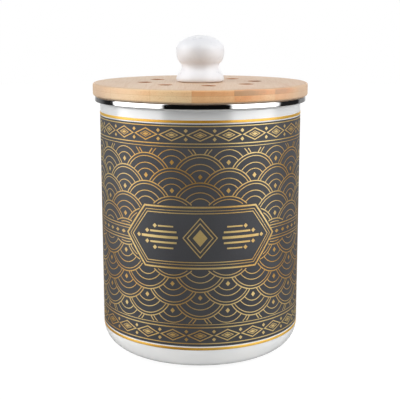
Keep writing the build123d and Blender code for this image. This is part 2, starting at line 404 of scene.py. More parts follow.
@dataclass(frozen=True)
class LaminatedBamboo(Finish):
    """Bamboo slats glued side by side in two plies, sanded and oiled: straight fibres front to
    back, and ends that drink more oil, so they are darker, dotted and differ from slat to slat.

    Attributes:
        slat_mm: Width of a slat.
        slat_start_mm: Place of the middle slat's left seam.
        slat_tones_and_shade: Depth of colour of each slat, from left to right: partly the slats'
            own tones, partly painted light and shade set slat by slat across the board's front
            edge.
        ply_level_mm: Height at which the plies meet.
        pale: Colour of the palest wood. The next three colours are deeper in turn.
        fibre: Colour of the fibre bundles' ends, the streaks and the seams.
        face: Colour that tints the slats' long faces, the top among them: paler from sanding,
            and greyer as a painted reflection of the white wall behind the lid.
        oiled_and_shaded_bore: Colour of drilled walls, darker as oiled end grain and as painted
            shade inside the holes.
        bored_within_mm: Distance from the axis within which upright faces are drilled walls.
        drift_mm: Size of the patches in which a slat's own colour drifts.
        bundle_mm: Spacing of the fibre bundles.
        fibre_mm: Width of the fine streaks.
        fibre_length: Factor that draws the streaks out along the slat.
        fibre_depth_mm: Depth of the streaks.
    """

    title: str = "bamboo_laminated_sanded_oiled"
    roughness: float = 0.42
    slat_mm: float = 30.0
    slat_start_mm: float = -6.0
    # Partly the slats' own tones, partly painted light and shade set slat by slat across the front
    # edge.
    slat_tones_and_shade: tuple[float, ...] = (0.56, 0.46, 0.22, 0.66, 1.04, 1.45)
    ply_level_mm: float = 208.6
    pale: str = "#F2D6A8"
    middle: str = "#EEBF8A"
    deep: str = "#E29E66"
    darkest: str = "#B98F66"
    fibre: str = "#A8703C"
    face: str = "#B59E93"
    oiled_and_shaded_bore: str = "#9C5F2C"
    bored_within_mm: float = 60.0
    drift_mm: float = 14.0
    bundle_mm: float = 1.5
    fibre_mm: float = 0.55
    fibre_length: float = 0.02
    fibre_depth_mm: float = 0.02

    def dress(self, tree: Tree, surface: Node) -> None:
        """Lay the slats, then the fibres and the bundles' dots in them."""
        add = partial(add_node, tree)
        coordinates = add("TexCoord").outputs
        place = add("SeparateXYZ", {0: coordinates["Object"]}).outputs
        facing = add("SeparateXYZ", {0: coordinates["Normal"]}).outputs
        facing_front = add("Math", {0: facing["Y"]}, operation="ABSOLUTE")
        end_grain = add("MapRange", {0: facing_front, "From Min": 0.45, "From Max": 0.95})
        across = add("Math", {0: place["X"], 1: self.slat_start_mm * MM}, operation="SUBTRACT")
        slats = add("Math", {0: across, 1: self.slat_mm * MM}, operation="DIVIDE")
        slat = add("Math", {0: slats}, operation="FLOOR")
        ply_level = self.ply_level_mm * MM
        upper_ply = add("Math", {0: place["Z"], 1: ply_level}, operation="GREATER_THAN")
        batch = add("CombineXYZ", {0: slat, 1: upper_ply, 2: 5.0})
        chance = add("TexWhiteNoise", {"Vector": batch}, noise_dimensions="3D").outputs
        wood = self.toned_wood(tree, slats, upper_ply, end_grain, chance["Value"])

        shifted = add("VectorMath", {0: coordinates["Object"], 1: chance["Color"]}, operation="ADD")
        drawn_out = (1, self.fibre_length, 1)
        along = add("VectorMath", {0: shifted, 1: drawn_out}, operation="MULTIPLY")
        inputs = {"Vector": along, "Scale": 1 / (self.fibre_mm * MM), "Detail": 3.0}
        fibres = add("TexNoise", {**inputs, "Roughness": 0.6})
        bundles = add("TexVoronoi", {"Vector": along, "Scale": 1 / (self.bundle_mm * MM)})
        dots = {0: bundles, "From Min": 0.05, "From Max": 0.24, "To Min": 0.5, "To Max": 0.0}
        at_ends = add("MapRange", {0: end_grain, "To Min": 0.35})
        marks = add("Math", {0: add("MapRange", dots), 1: at_ends}, operation="MULTIPLY")
        streaks = add("MapRange", {0: fibres, "From Min": 0.5, "From Max": 0.72, "To Max": 0.3})
        marks = add("Math", {0: marks, 1: streaks}, operation="MAXIMUM")
        seams = self.seams(tree, slats, place["Z"])
        marks = add("Math", {0: marks, 1: seams}, operation="MAXIMUM")

        # The long faces, the top among them, are tinted paler from sanding and greyer as a painted
        # reflection of the white wall behind.
        long_faces = add("MapRange", {0: end_grain, "To Min": 0.6, "To Max": 0.0})
        for share, colour in ((long_faces, self.face), (marks, self.fibre)):
            wood = add("Mix", {0: share, 6: wood, 7: linear(colour)}, data_type="RGBA")
        # The drilled walls are darkened, partly as oiled end grain and partly as painted shade
        # inside the holes.
        tint(tree, surface, self.drilled_walls(tree, place, facing["Z"]), wood, self.oiled_and_shaded_bore)
        self.vary_gloss(tree, surface, fibres, 0.06, 0.1)
        grooves = add("Math", {0: fibres, 1: marks}, operation="SUBTRACT")
        relief(tree, surface, grooves, self.fibre_depth_mm)

    def toned_wood(
        self, tree: Tree, slats: Node, upper_ply: Node, end_grain: Node, chance: Socket
    ) -> Node:
        """Tone each slat, partly with painted light and shade; deepest on the upper ply's ends.

        Args:
            tree: The material's node tree.
            slats: Place across the board, counted in slats from the middle one.
            upper_ply: 1 in the upper ply and 0 in the lower one.
            end_grain: 1 on the slats' ends and 0 on their long faces.
            chance: A random number for each slat of each ply.

        Returns:
            The node that gives the wood's colour.
        """
        add = partial(add_node, tree)
        # The slats' tones are partly their own and partly painted light and shade across the front
        # edge.
        count = len(self.slat_tones_and_shade)
        first = -(count // 2)
        shelf = add("MapRange", {0: slats, "From Min": first, "From Max": first + count})
        stops = [
            (index / count, (depth, depth, depth, 1.0))
            for index, depth in enumerate(self.slat_tones_and_shade)
        ]
        tone = add("ValToRGB", {0: shelf}, stops=stops)
        tone.color_ramp.interpolation = "CONSTANT"
        drift = mottle(tree, self.drift_mm, 3.0, (1, 0.25, 1))
        for operation, change in (
            ("MULTIPLY", {0: end_grain, "To Min": 0.12, "To Max": 0.92}),
            ("MULTIPLY", {0: upper_ply, "To Min": 0.68}),
            ("ADD", {0: chance, "To Max": 0.12}),
            ("ADD", {0: drift, **NOISE_SPAN, "To Min": -0.1, "To Max": 0.16}),
        ):
            tone = add("Math", {0: tone, 1: add("MapRange", change)}, operation=operation)
        shades = ((0.0, self.pale), (0.44, self.middle), (0.74, self.deep), (1.0, self.darkest))
        return add("ValToRGB", {0: tone}, stops=[(at, linear(shade)) for at, shade in shades])

    def seams(self, tree: Tree, slats: Node, level: Socket) -> Node:
        """Draw the glued seams between the slats and between the plies.

        Args:
            tree: The material's node tree.
            slats: Place across the board, counted in slats from the middle one.
            level: Height of the place in metres.

        Returns:
            The node that gives the seams' depth of colour.
        """
        add = partial(add_node, tree)
        in_slat = add("Math", {0: slats}, operation="FRACT")
        from_middle = add("Math", {0: in_slat, 1: 0.5}, operation="SUBTRACT")
        from_ply = add("Math", {0: level, 1: self.ply_level_mm * MM}, operation="SUBTRACT")
        slat_edge = {"From Min": 0.493, "From Max": 0.4985, "To Max": 0.3}
        near, far = 0.05 * MM, 0.16 * MM
        ply_edge = {"From Min": near, "From Max": far, "To Min": 0.4, "To Max": 0.0}
        lines = []
        for offset, edge in ((from_middle, slat_edge), (from_ply, ply_edge)):
            distance = add("Math", {0: offset}, operation="ABSOLUTE")
            lines.append(add("MapRange", {0: distance, **edge}))
        return add("Math", dict(enumerate(lines)), operation="MAXIMUM")

    def drilled_walls(
        self, tree: Tree, place: bpy.types.NodeOutputs, facing_up: Socket
    ) -> Node:
        """Find the walls of the drilled holes.

        Args:
            tree: The material's node tree.
            place: X, Y and Z of the place in metres.
            facing_up: How far the surface faces up or down, from -1 to 1.

        Returns:
            The node that gives 1 on a drilled wall and 0 elsewhere.
        """
        add = partial(add_node, tree)
        flat_place = add("CombineXYZ", {0: place["X"], 1: place["Y"]})
        from_axis = add("VectorMath", {0: flat_place}, operation="LENGTH")
        within = self.bored_within_mm * MM
        is_inside = add("Math", {0: from_axis, 1: within}, operation="LESS_THAN")
        levelness = add("Math", {0: facing_up}, operation="ABSOLUTE")
        upright = {0: levelness, "From Min": 0.3, "From Max": 0.6, "To Min": 1, "To Max": 0}
        sides = {0: add("MapRange", upright), 1: is_inside}
        return add("Math", sides, operation="MULTIPLY")


@dataclass(frozen=True)
class SatinGlaze(Finish):
    """White glaze fired on a slip-cast ceramic: soft, wide highlights over a faintly uneven
    skin, and a brownish band painted round the foot's lowest edge as a contact shadow."""

    title: str = "ceramic_white_satin_glaze"
    roughness: float = 0.3
    ior: float = 1.32
    glaze: str = "#E8E9EC"
    thin_glaze: str = "#E4E5E9"
    # Painted contact shadow: a brownish band round the foot's lowest half millimetre.
    painted_foot_shadow: str = "#C9A98C"
    foot_shadow_level_mm: float = 213.75
    foot_shadow_edge_mm: float = 0.25
    patch_mm: float = 9.0
    haze_mm: float = 5.0
    ripple_mm: float = 7.0
    ripple_depth_mm: float = 0.008

    def dress(self, tree: Tree, surface: Node) -> None:
        """Let the glaze thin in patches and paint a contact shadow round the foot's lowest edge."""
        patches = add_node(tree, "MapRange", {0: mottle(tree, self.patch_mm, 2.0), **NOISE_SPAN})
        sides = {0: patches, 6: linear(self.glaze), 7: linear(self.thin_glaze)}
        coat = add_node(tree, "Mix", sides, data_type="RGBA")
        place = add_node(tree, "TexCoord").outputs["Object"]
        level = add_node(tree, "SeparateXYZ", {0: place}).outputs["Z"]
        # Painted contact shadow: the foot's lowest half millimetre is tinted brown.
        low = (self.foot_shadow_level_mm - self.foot_shadow_edge_mm) * MM
        high = (self.foot_shadow_level_mm + self.foot_shadow_edge_mm) * MM
        foot_shadow_share = {0: level, "From Min": low, "From Max": high, "To Min": 1, "To Max": 0}
        tint(tree, surface, add_node(tree, "MapRange", foot_shadow_share), coat, self.painted_foot_shadow)
        self.vary_gloss(tree, surface, mottle(tree, self.haze_mm, 2.0), 0.04, 0.06)
        relief(tree, surface, mottle(tree, self.ripple_mm, 1.0), self.ripple_depth_mm)


@dataclass(frozen=True)
class MouldedRubber(Finish):
    """Silicone or nitrile rubber pressed in a mould: matt and soft, with a dusty, fine grain."""

    title: str = "silicone_moulded"
    roughness: float = 0.52
    ior: float = 1.43
    colour: str = "#E4E1DA"
    dust: str = "#D3CFC6"
    dust_mm: float = 7.0
    grain_mm: float = 0.6
    grain_depth_mm: float = 0.012

    def dress(self, tree: Tree, surface: Node) -> None:
        """Cloud the colour with dust and roughen the skin."""
        dust = add_node(tree, "MapRange", {0: mottle(tree, self.dust_mm, 4.0), **NOISE_SPAN})
        tint(tree, surface, dust, self.colour, self.dust)
        relief(tree, surface, mottle(tree, self.grain_mm, 2.0), self.grain_depth_mm)


@dataclass(frozen=True)
class WorkedMetal(Finish):
    """Turned brass or zinc-plated steel: metallic, with turning rings or a cloudy plating."""

    title: str = "brass_turned"
    roughness: float = 0.28
    metallic: float = 1.0
    colour: str = "#C9A45A"
    cloud: str = "#B88F45"
    cloud_mm: float = 4.0
    ring_mm: float = 0.35
    ring_depth_mm: float = 0.004

    def dress(self, tree: Tree, surface: Node) -> None:
        """Cloud the metal and lay the tool's rings across the axis."""
        cloud = add_node(tree, "MapRange", {0: mottle(tree, self.cloud_mm, 3.0), **NOISE_SPAN})
        tint(tree, surface, cloud, self.colour, self.cloud)
        rings = mottle(tree, self.ring_mm, 1.0, (0.03, 0.03, 1))
        self.vary_gloss(tree, surface, rings, 0.06, 0.1)
        relief(tree, surface, rings, self.ring_depth_mm)


@dataclass(frozen=True)
class MouldedPolypropylene(Finish):
    """Polypropylene from a spark-eroded mould: milky white, satin, with a fine even grain."""

    title: str = "polypropylene_moulded"
    roughness: float = 0.45
    ior: float = 1.49
    colour: str = "#E9E8E3"
    flow: str = "#E1DFD8"
    flow_mm: float = 16.0
    grain_mm: float = 0.45
    grain_depth_mm: float = 0.01

    def dress(self, tree: Tree, surface: Node) -> None:
        """Cloud the plastic along its flow and give it the mould's grain."""
        flow = add_node(tree, "MapRange", {0: mottle(tree, self.flow_mm, 3.0), **NOISE_SPAN})
        tint(tree, surface, flow, self.colour, self.flow)
        grain = mottle(tree, self.grain_mm, 1.0)
        self.vary_gloss(tree, surface, grain, 0.05, 0.08)
        relief(tree, surface, grain, self.grain_depth_mm)


@dataclass(frozen=True)
class CharcoalFelt(Finish):
    """Needled felt loaded with activated charcoal: almost black, with grey fibres standing out."""

    title: str = "felt_activated_charcoal"
    roughness: float = 0.95
    specular: float = 0.2
    ground: str = "#1D1D1F"
    fibre: str = "#55565A"
    fibre_mm: float = 0.7
    fibre_depth_mm: float = 0.15
    sheen: float = 0.25
    sheen_roughness: float = 0.6

    def dress(self, tree: Tree, surface: Node) -> None:
        """Lay two crossing webs of fibres over the dark ground."""
        stretches = ((1, 0.2, 1), (0.2, 1, 1))
        webs = [mottle(tree, self.fibre_mm, 3.0, stretch) for stretch in stretches]
        web = add_node(tree, "Math", dict(enumerate(webs)), operation="MAXIMUM")
        shown = {0: web, "From Min": 0.52, "From Max": 0.75, "To Max": 0.75}
        tint(tree, surface, add_node(tree, "MapRange", shown), self.ground, self.fibre)
        surface.inputs["Sheen Weight"].default_value = self.sheen
        surface.inputs["Sheen Roughness"].default_value = self.sheen_roughness
        relief(tree, surface, web, self.fibre_depth_mm)


@dataclass(frozen=True)
class Corner:
    """A corner of an outline drawn as radius and height, with its rounding."""

    radius: float
    height: float
    rounding: float = 0.0


def rounded(corners: Sequence[Corner], closed: bool = True, steps: int = 8) -> list[Point]:
    """Round an outline's corners with arcs.

    Args:
        corners: The outline's corners in order.
        closed: Whether the last corner joins the first.
        steps: Straight pieces in each arc.

    Returns:
        The outline's points.
    """
    places = [np.array((corner.radius, corner.height)) for corner in corners]
    points: list[Point] = []
    for index, corner in enumerate(corners):
        here = places[index]
        is_end = not closed and index in (0, len(corners) - 1)
        if corner.rounding == 0 or is_end:
            points.append((here[0], here[1]))
            continue
        back = places[index - 1] - here
        back /= np.linalg.norm(back)
        ahead = places[(index + 1) % len(places)] - here
        ahead /= np.linalg.norm(ahead)
        half = math.acos(float(np.clip(back @ ahead, -1, 1))) / 2
        inward = back + ahead
        inward /= np.linalg.norm(inward)
        centre = here + inward * corner.rounding / math.sin(half)
        first = here + back * corner.rounding / math.tan(half) - centre
        last = here + ahead * corner.rounding / math.tan(half) - centre
        start = math.atan2(first[1], first[0])
        sweep = (math.atan2(last[1], last[0]) - start + math.pi) % TURN - math.pi
        for step in range(steps + 1):
            angle = start + sweep * step / steps
            across = centre[0] + corner.rounding * math.cos(angle)
            points.append((across, centre[1] + corner.rounding * math.sin(angle)))
    return points


def curve(handles: Sequence[Point], steps: int) -> list[Point]:
    """Draw a Bezier curve.

    Args:
        handles: The curve's start, handles and end.
        steps: Straight pieces in the curve.

    Returns:
        The curve's points, both ends among them.
    """
    points = []
    for step in range(steps + 1):
        share = step / steps
        level = [np.array(handle, float) for handle in handles]
        while len(level) > 1:
            level = [a + (b - a) * share for a, b in zip(level, level[1:])]
        points.append((float(level[0][0]), float(level[0][1])))
    return points


def placed(name: str, data: bpy.types.ID) -> Piece:
    """Return a new object in the scene that shows a mesh, a lamp or a camera."""
    made = bpy.data.objects.new(name, data)
    bpy.context.scene.collection.objects.link(made)
    return made


def solid(
    name: str,
    places: Sequence[Sequence[float]],
    faces: Sequence[Sequence[int]],
    finish: Finish,
    sharp_degrees: float = SHARP_DEGREES,
) -> Piece:
    """Make a shown mesh, smooth but for its sharp edges.

    Args:
        name: The piece's name.
        places: Corner places in metres.
        faces: Corner numbers of each face.
        finish: The piece's finish.
        sharp_degrees: Edges that turn by more than this stay sharp.

    Returns:
        The new object.
    """
    mesh = bpy.data.meshes.new(name)
    mesh.from_pydata([tuple(place) for place in places], [], [tuple(face) for face in faces])
    mesh.validate()
    mesh.shade_smooth()
    mesh.set_sharp_from_angle(angle=math.radians(sharp_degrees))
    mesh.materials.append(finish.material())
    return placed(name, mesh)


def turned(name: str, outline: Sequence[Point], finish: Finish, segments: int = 256) -> Piece:
    """Turn an outline about Z into a closed mesh.

    Args:
        name: The piece's name.
        outline: Points of radius and height, counter-clockwise with radius to the right. It
            closes on itself, or starts and ends on the axis.
        finish: The piece's finish.
        segments: Steps round the axis.

    Returns:
        The new object.
    """
    angles = np.arange(segments) * TURN / segments
    ring_shape = np.stack([np.cos(angles), np.sin(angles), np.zeros(segments)], 1)
    places: list[np.ndarray] = []
    rows: list[list[int]] = []
    for radius, height in outline:
        on_axis = radius < ON_AXIS
        first = sum(len(row) for row in places)
        ring = ring_shape * radius + (0, 0, height)
        places.append(ring[:1] if on_axis else ring)
        count = 1 if on_axis else segments
        rows.append([first + step % count for step in range(segments)])
    closes = outline[0][0] > ON_AXIS
    faces = []
    for lower, upper in zip(rows, rows[1:] + rows[:1] if closes else rows[1:]):
        for step in range(segments):
            after = (step + 1) % segments
            face = [lower[step], lower[after], upper[after], upper[step]]
            faces.append(list(dict.fromkeys(face)))
    return solid(name, np.concatenate(places) * MM, faces, finish)


def report(piece: Piece, body: Body, slot: Slot | None = None, *nodes: str) -> None:
    """Seat a piece on its body, hide the CAD nodes that it stands for and log it.

    Args:
        piece: The new piece.
        body: The body that it moves with.
        slot: The record's slot that matches its finish. Not used.
        nodes: CAD nodes that it stands for.
    """
    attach(piece, body.value)
    if nodes:
        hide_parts(*nodes)
    LOG.info("%s rides on %s with %d faces", piece.name, body.value, len(piece.data.polygons))


def refinish(node: str, finish: Finish) -> None:
    """Give a CAD node that stays in view its finish.

    Args:
        node: The node's name.
        finish: Its finish.
    """
    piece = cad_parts[node]
    if not piece.data.materials:
        piece.data.materials.append(finish.material())
    for holder in piece.material_slots:
        holder.material = finish.material()
    LOG.info("%s keeps its CAD shape in %s", node, finish.title)


def top_of(node: str) -> float:
    """Return the height of a CAD node's top in millimetres."""
    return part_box(node)[1].z / MM


def bottom_of(node: str) -> float:
    """Return the height of a CAD node's lowest point in millimetres."""
    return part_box(node)[0].z / MM


def radius_of(node: str) -> float:
    """Return the outer radius of a round CAD node in millimetres."""
    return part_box(node)[1].x / MM


@dataclass
class Canister:
    """The enamelled can and the steel band folded over its lip."""

    lip_flare: float = 3.1
    wall: float = 1.2
    lip_rounding: float = 0.48
    heel_rounding: float = 18.5
    ring_width: float = 7.0
    recess_depth: float = 1.6
    recess_slope: float = 5.0
    recess_rounding: float = 3.0
    flare_height: float = 2.0
    flare_rounding: float = 1.8
    lip_straight: float = 2.4
    band_sheet: float = 0.7
    band_fold: float = 2.9
    band_outer_leg: float = 4.3
    band_inner_leg: float = 2.1
    band_rounding: float = 1.4
    band_edge: float = 0.3
    band_burr: float = 0.05
    band_roll: float = 0.66
    enamel: VitreousEnamel = VitreousEnamel()
    steel: MirrorStainless = MirrorStainless()

    @property
    def body_radius(self) -> float:
        """Outside radius of the straight wall."""
        return radius_of("canister_shell") - self.lip_flare

    def build_shell(self) -> Piece:
        """Return the can, one sheet from the pressed-up base to the lip."""
        lip = radius_of("canister_shell")
        top = top_of("canister_shell")
        body = self.body_radius
        ring = body - self.heel_rounding - self.ring_width
        recess = ring - self.recess_slope
        flare_top = top - self.lip_straight
        flare_bottom = flare_top - self.flare_height
        wall = self.wall
        lean = math.tan(math.atan2(self.lip_flare, self.flare_height) / 2) * wall
        outer = [
            Corner(0, self.recess_depth),
            Corner(recess, self.recess_depth, self.recess_rounding),
            Corner(ring, 0, self.recess_rounding),
            Corner(body, 0, self.heel_rounding),
            Corner(body, flare_bottom, self.flare_rounding),
            Corner(lip, flare_top, self.flare_rounding),
            Corner(lip, top, self.lip_rounding),
        ]
        inner = [
            Corner(lip - wall, top, self.lip_rounding),
            Corner(lip - wall, flare_top + lean, self.flare_rounding - wall),
            Corner(body - wall, flare_bottom + lean, self.flare_rounding + wall),
            Corner(body - wall, wall, self.heel_rounding - wall),
            Corner(ring, wall, self.recess_rounding + wall),
            Corner(recess, self.recess_depth + wall, self.recess_rounding - wall),
            Corner(0, self.recess_depth + wall),
        ]
        outline = rounded(outer + inner, closed=False, steps=14)
        return turned("enamelled_can", outline, self.enamel)

    def build_band(self) -> Piece:
        """Return the band, a thin sheet folded over the lip, with its edges eased."""
        outside = radius_of("rim_band")
        inside = outside - self.band_fold
        top = top_of("rim_band")
        sheet = self.band_sheet
        fold = self.band_rounding
        edge = self.band_edge
        outline = rounded(
            [
                Corner(outside, top - self.band_outer_leg, self.band_roll),
                Corner(outside, top, fold),
                Corner(inside, top, fold),
                Corner(inside, top - self.band_inner_leg, edge),
                Corner(inside + sheet, top - self.band_inner_leg, edge),
                Corner(inside + sheet, top - sheet, fold - sheet),
                Corner(outside - sheet, top - sheet, fold - sheet),
                Corner(outside - sheet, top - self.band_outer_leg, self.band_burr),
            ]
        )
        return turned("steel_rim_band", outline, self.steel, 384)

    def build(self) -> None:
        """Make the can and its band and seat them."""
        report(self.build_shell(), Body.CANISTER, Slot.ENAMEL, "canister_shell")
        report(self.build_band(), Body.CANISTER, Slot.STAINLESS, "rim_band")


def straight(start: Point, end: Point) -> Path:
    """Return the path along a straight line on the flat print."""
    return lambda share: (
        start[0] + (end[0] - start[0]) * share,
        start[1] + (end[1] - start[1]) * share,
    )


def arc(centre: Point, radius: float, start: float, end: float) -> Path:
    """Return the path along an arc on the flat print, with its angles in radians."""
    return lambda share: (
        centre[0] + radius * math.cos(start + (end - start) * share),
        centre[1] + radius * math.sin(start + (end - start) * share),
    )


def moved(corners: Sequence[Point], along: float, level: float) -> list[Point]:
    """Return corners moved along the print and up to a level."""
    return [(along + x, level + y) for x, y in corners]


def lozenge_corners(size: Point, inset: float = 0.0) -> list[Point]:
    """Give a lozenge's corners about its centre.

    Args:
        size: Half its length and half its height.
        inset: How far its sides are moved in.

    Returns:
        The four corners, from the right one on.
    """
    length, height = size
    share = 1 - inset * math.hypot(length, height) / (length * height)
    return [(length * share, 0), (0, height * share), (-length * share, 0), (0, -height * share)]


def kept(path: Path, keep: Callable[[Point], bool], steps: int) -> list[list[Point]]:
    """Cut a path down to its stretches in the kept region.

    Args:
        path: The path, from 0 to 1.
        keep: Says whether a place is in the region.
        steps: Straight pieces in the whole path.

    Returns:
        The points of each stretch, with its ends on the region's border.
    """

    def border(inside: float, outside: float) -> Point:
        """Return the place where the path leaves the region, found by halving."""
        for _ in range(BORDER_HALVINGS):
            middle = (inside + outside) / 2
            if keep(path(middle)):
                inside = middle
            else:
                outside = middle
        return path(inside)

    stretches: list[list[Point]] = []
    shares = [step / steps for step in range(steps + 1)]
    marks = [keep(path(share)) for share in shares]
    for index, share in enumerate(shares):
        if not marks[index]:
            continue
        if index == 0 or not marks[index - 1]:
            stretches.append([])
            if index > 0:
                stretches[-1].append(border(share, shares[index - 1]))
        stretches[-1].append(path(share))
        if index < steps and not marks[index + 1]:
            stretches[-1].append(border(share, shares[index + 1]))
    return [stretch for stretch in stretches if len(stretch) > 1]


@dataclass
class GoldRelief:
    """Gold lines and solid shapes on the wall. Each is a thin closed plate that bends with it.

    Attributes:
        wall: Radius of the wall, at which lengths along the print are true.
        inner: Radius of the plates' hidden faces.
        outer: Radius of the plates' faces in view.
        reach: Longest straight piece along the print.
        mitre_limit: Keeps the mitre of a hairpin short, and is less the longer it may be.
        sharp_degrees: Edges that turn by more than this stay sharp.
    """

    wall: float
    inner: float
    outer: float
    reach: float = 2.6
    mitre_limit: float = 0.2
    sharp_degrees: float = 30.0
    places: list[np.ndarray] = field(default_factory=list)
    faces: list[list[int]] = field(default_factory=list)
    count: int = 0

    def wrapped(self, flat: np.ndarray, radius: float) -> np.ndarray:
        """Return flat places wrapped round the wall at a radius."""
        turn = flat[:, 0] / self.wall
        return np.stack([radius * np.sin(turn), -radius * np.cos(turn), flat[:, 1]], 1)

    def divided(self, corners: Sequence[Point], closed: bool) -> list[Point]:
        """Split long straight sides, so that they can bend with the wall.

        Args:
            corners: The corners of a line or an outline.
            closed: Whether the last corner joins the first.

        Returns:
            The corners, with the places between them.
        """
        points: list[Point] = []
        ends = list(corners[1:]) + ([corners[0]] if closed else [])
        for start, end in zip(corners, ends):
            pieces = max(1, math.ceil(abs(end[0] - start[0]) / self.reach))
            path = straight(start, end)
            points += [path(piece / pieces) for piece in range(pieces)]
        return points if closed else points + [corners[-1]]

    def line(self, points: Sequence[Point], width: float, closed: bool = False) -> None:
        """Add a line of even width with mitred corners.

        Args:
            points: Places along the line's middle.
            width: The line's width.
            closed: Whether the last place joins the first.
        """
        track = np.array(points, float)
        ahead = np.roll(track, -1, 0) - track
        ahead /= np.linalg.norm(ahead, axis=1)[:, None] + NEVER_ZERO
        if not closed:
            ahead[-1] = ahead[-2]
        behind = np.roll(ahead, 1, 0)
        if not closed:
            behind[0] = ahead[0]
        left_ahead = np.stack([-ahead[:, 1], ahead[:, 0]], 1)
        left_behind = np.stack([-behind[:, 1], behind[:, 0]], 1)
        turn = np.maximum(1 + (left_ahead * left_behind).sum(1), self.mitre_limit)
        side = (left_ahead + left_behind) / turn[:, None] * width / 2
        self.join_stations(track + side, track - side, closed)

    def hoop(self, level: float, width: float, stations: int = 240) -> None:
        """Add a level line round the whole wall.

        Args:
            level: Level of the line's middle.
            width: The line's width.
            stations: Straight pieces in it.
        """
        turns = np.arange(stations) * TURN * self.wall / stations
        upper, lower = (
            np.stack([turns, np.full(stations, level + rise * width)], 1) for rise in (0.5, -0.5)
        )
        self.join_stations(upper, lower, closed=True)

    def join_stations(self, left: np.ndarray, right: np.ndarray, closed: bool) -> None:
        """Join two edges, station by station, into a band that is closed all round.

        Args:
            left: Flat places of the left or upper edge.
            right: Flat places of the other edge.
            closed: Whether the last station joins the first.
        """
        edges = ((left, self.outer), (right, self.outer), (right, self.inner), (left, self.inner))
        corners = np.stack([self.wrapped(flat, radius) for flat, radius in edges], 1)
        stations = len(corners)
        first = self.count
        for station in range(stations if closed else stations - 1):
            here = first + 4 * station
            there = first + 4 * ((station + 1) % stations)
            for side in range(4):
                after = (side + 1) % 4
                self.faces.append([here + side, here + after, there + after, there + side])
        if not closed:
            last = first + 4 * (stations - 1)
            self.faces.append([first, first + 3, first + 2, first + 1])
            self.faces.append([last, last + 1, last + 2, last + 3])
        self.places.append(corners.reshape(-1, 3))
        self.count += 4 * stations

    def outline(self, corners: Sequence[Point], width: float) -> None:
        """Add a closed line round straight-sided corners."""
        self.line(self.divided(corners, closed=True), width, closed=True)

    def fill(self, columns: Sequence[tuple[float, float, float]]) -> None:
        """Add a solid shape.

        Args:
            columns: Place along the print, lower and upper level of each column, from left to
                right. A column with no height is a tip.
        """
        numbers: list[list[int]] = []
        for along, low, high in columns:
            levels = [low] if high - low < TIP_HEIGHT else [low, high]
            flat = np.array([(along, level) for level in levels])
            self.places += [self.wrapped(flat, self.outer), self.wrapped(flat, self.inner)]
            outer_low, outer_high = self.count, self.count + len(levels) - 1
            inner_low, inner_high = outer_low + len(levels), outer_high + len(levels)
            numbers.append([outer_low, outer_high, inner_low, inner_high])
            self.count += 2 * len(levels)
        sides = []
        for left, right in zip(numbers, numbers[1:]):
            sides += [
                [left[0], right[0], right[1], left[1]],
                [left[2], right[2], right[0], left[0]],
                [left[1], right[1], right[3], left[3]],
                [left[3], right[3], right[2], left[2]],
            ]
        first, last = numbers[0], numbers[-1]
        sides.append([first[0], first[1], first[3], first[2]])
        sides.append([last[1], last[0], last[2], last[3]])
        for face in sides:
            corners = list(dict.fromkeys(face))
            if len(corners) > 2:
                self.faces.append(corners)

    def lozenge(self, centre: Point, size: Point) -> None:
        """Add a solid lozenge.

        Args:
            centre: Place of its centre.
            size: Half its length and half its height.
        """
        half_length, half_height = size
        pieces = 2 * max(1, math.ceil(half_length / self.reach))
        columns = []
        for piece in range(pieces + 1):
            along = -1 + 2 * piece / pieces
            rise = half_height * (1 - abs(along))
            columns.append((centre[0] + along * half_length, centre[1] - rise, centre[1] + rise))
        self.fill(columns)

    def piece(self, name: str, finish: Finish) -> Piece:
        """Return the gathered lines and shapes as one piece."""
        places = np.concatenate(self.places) * MM
        return solid(name, places, self.faces, finish, self.sharp_degrees)


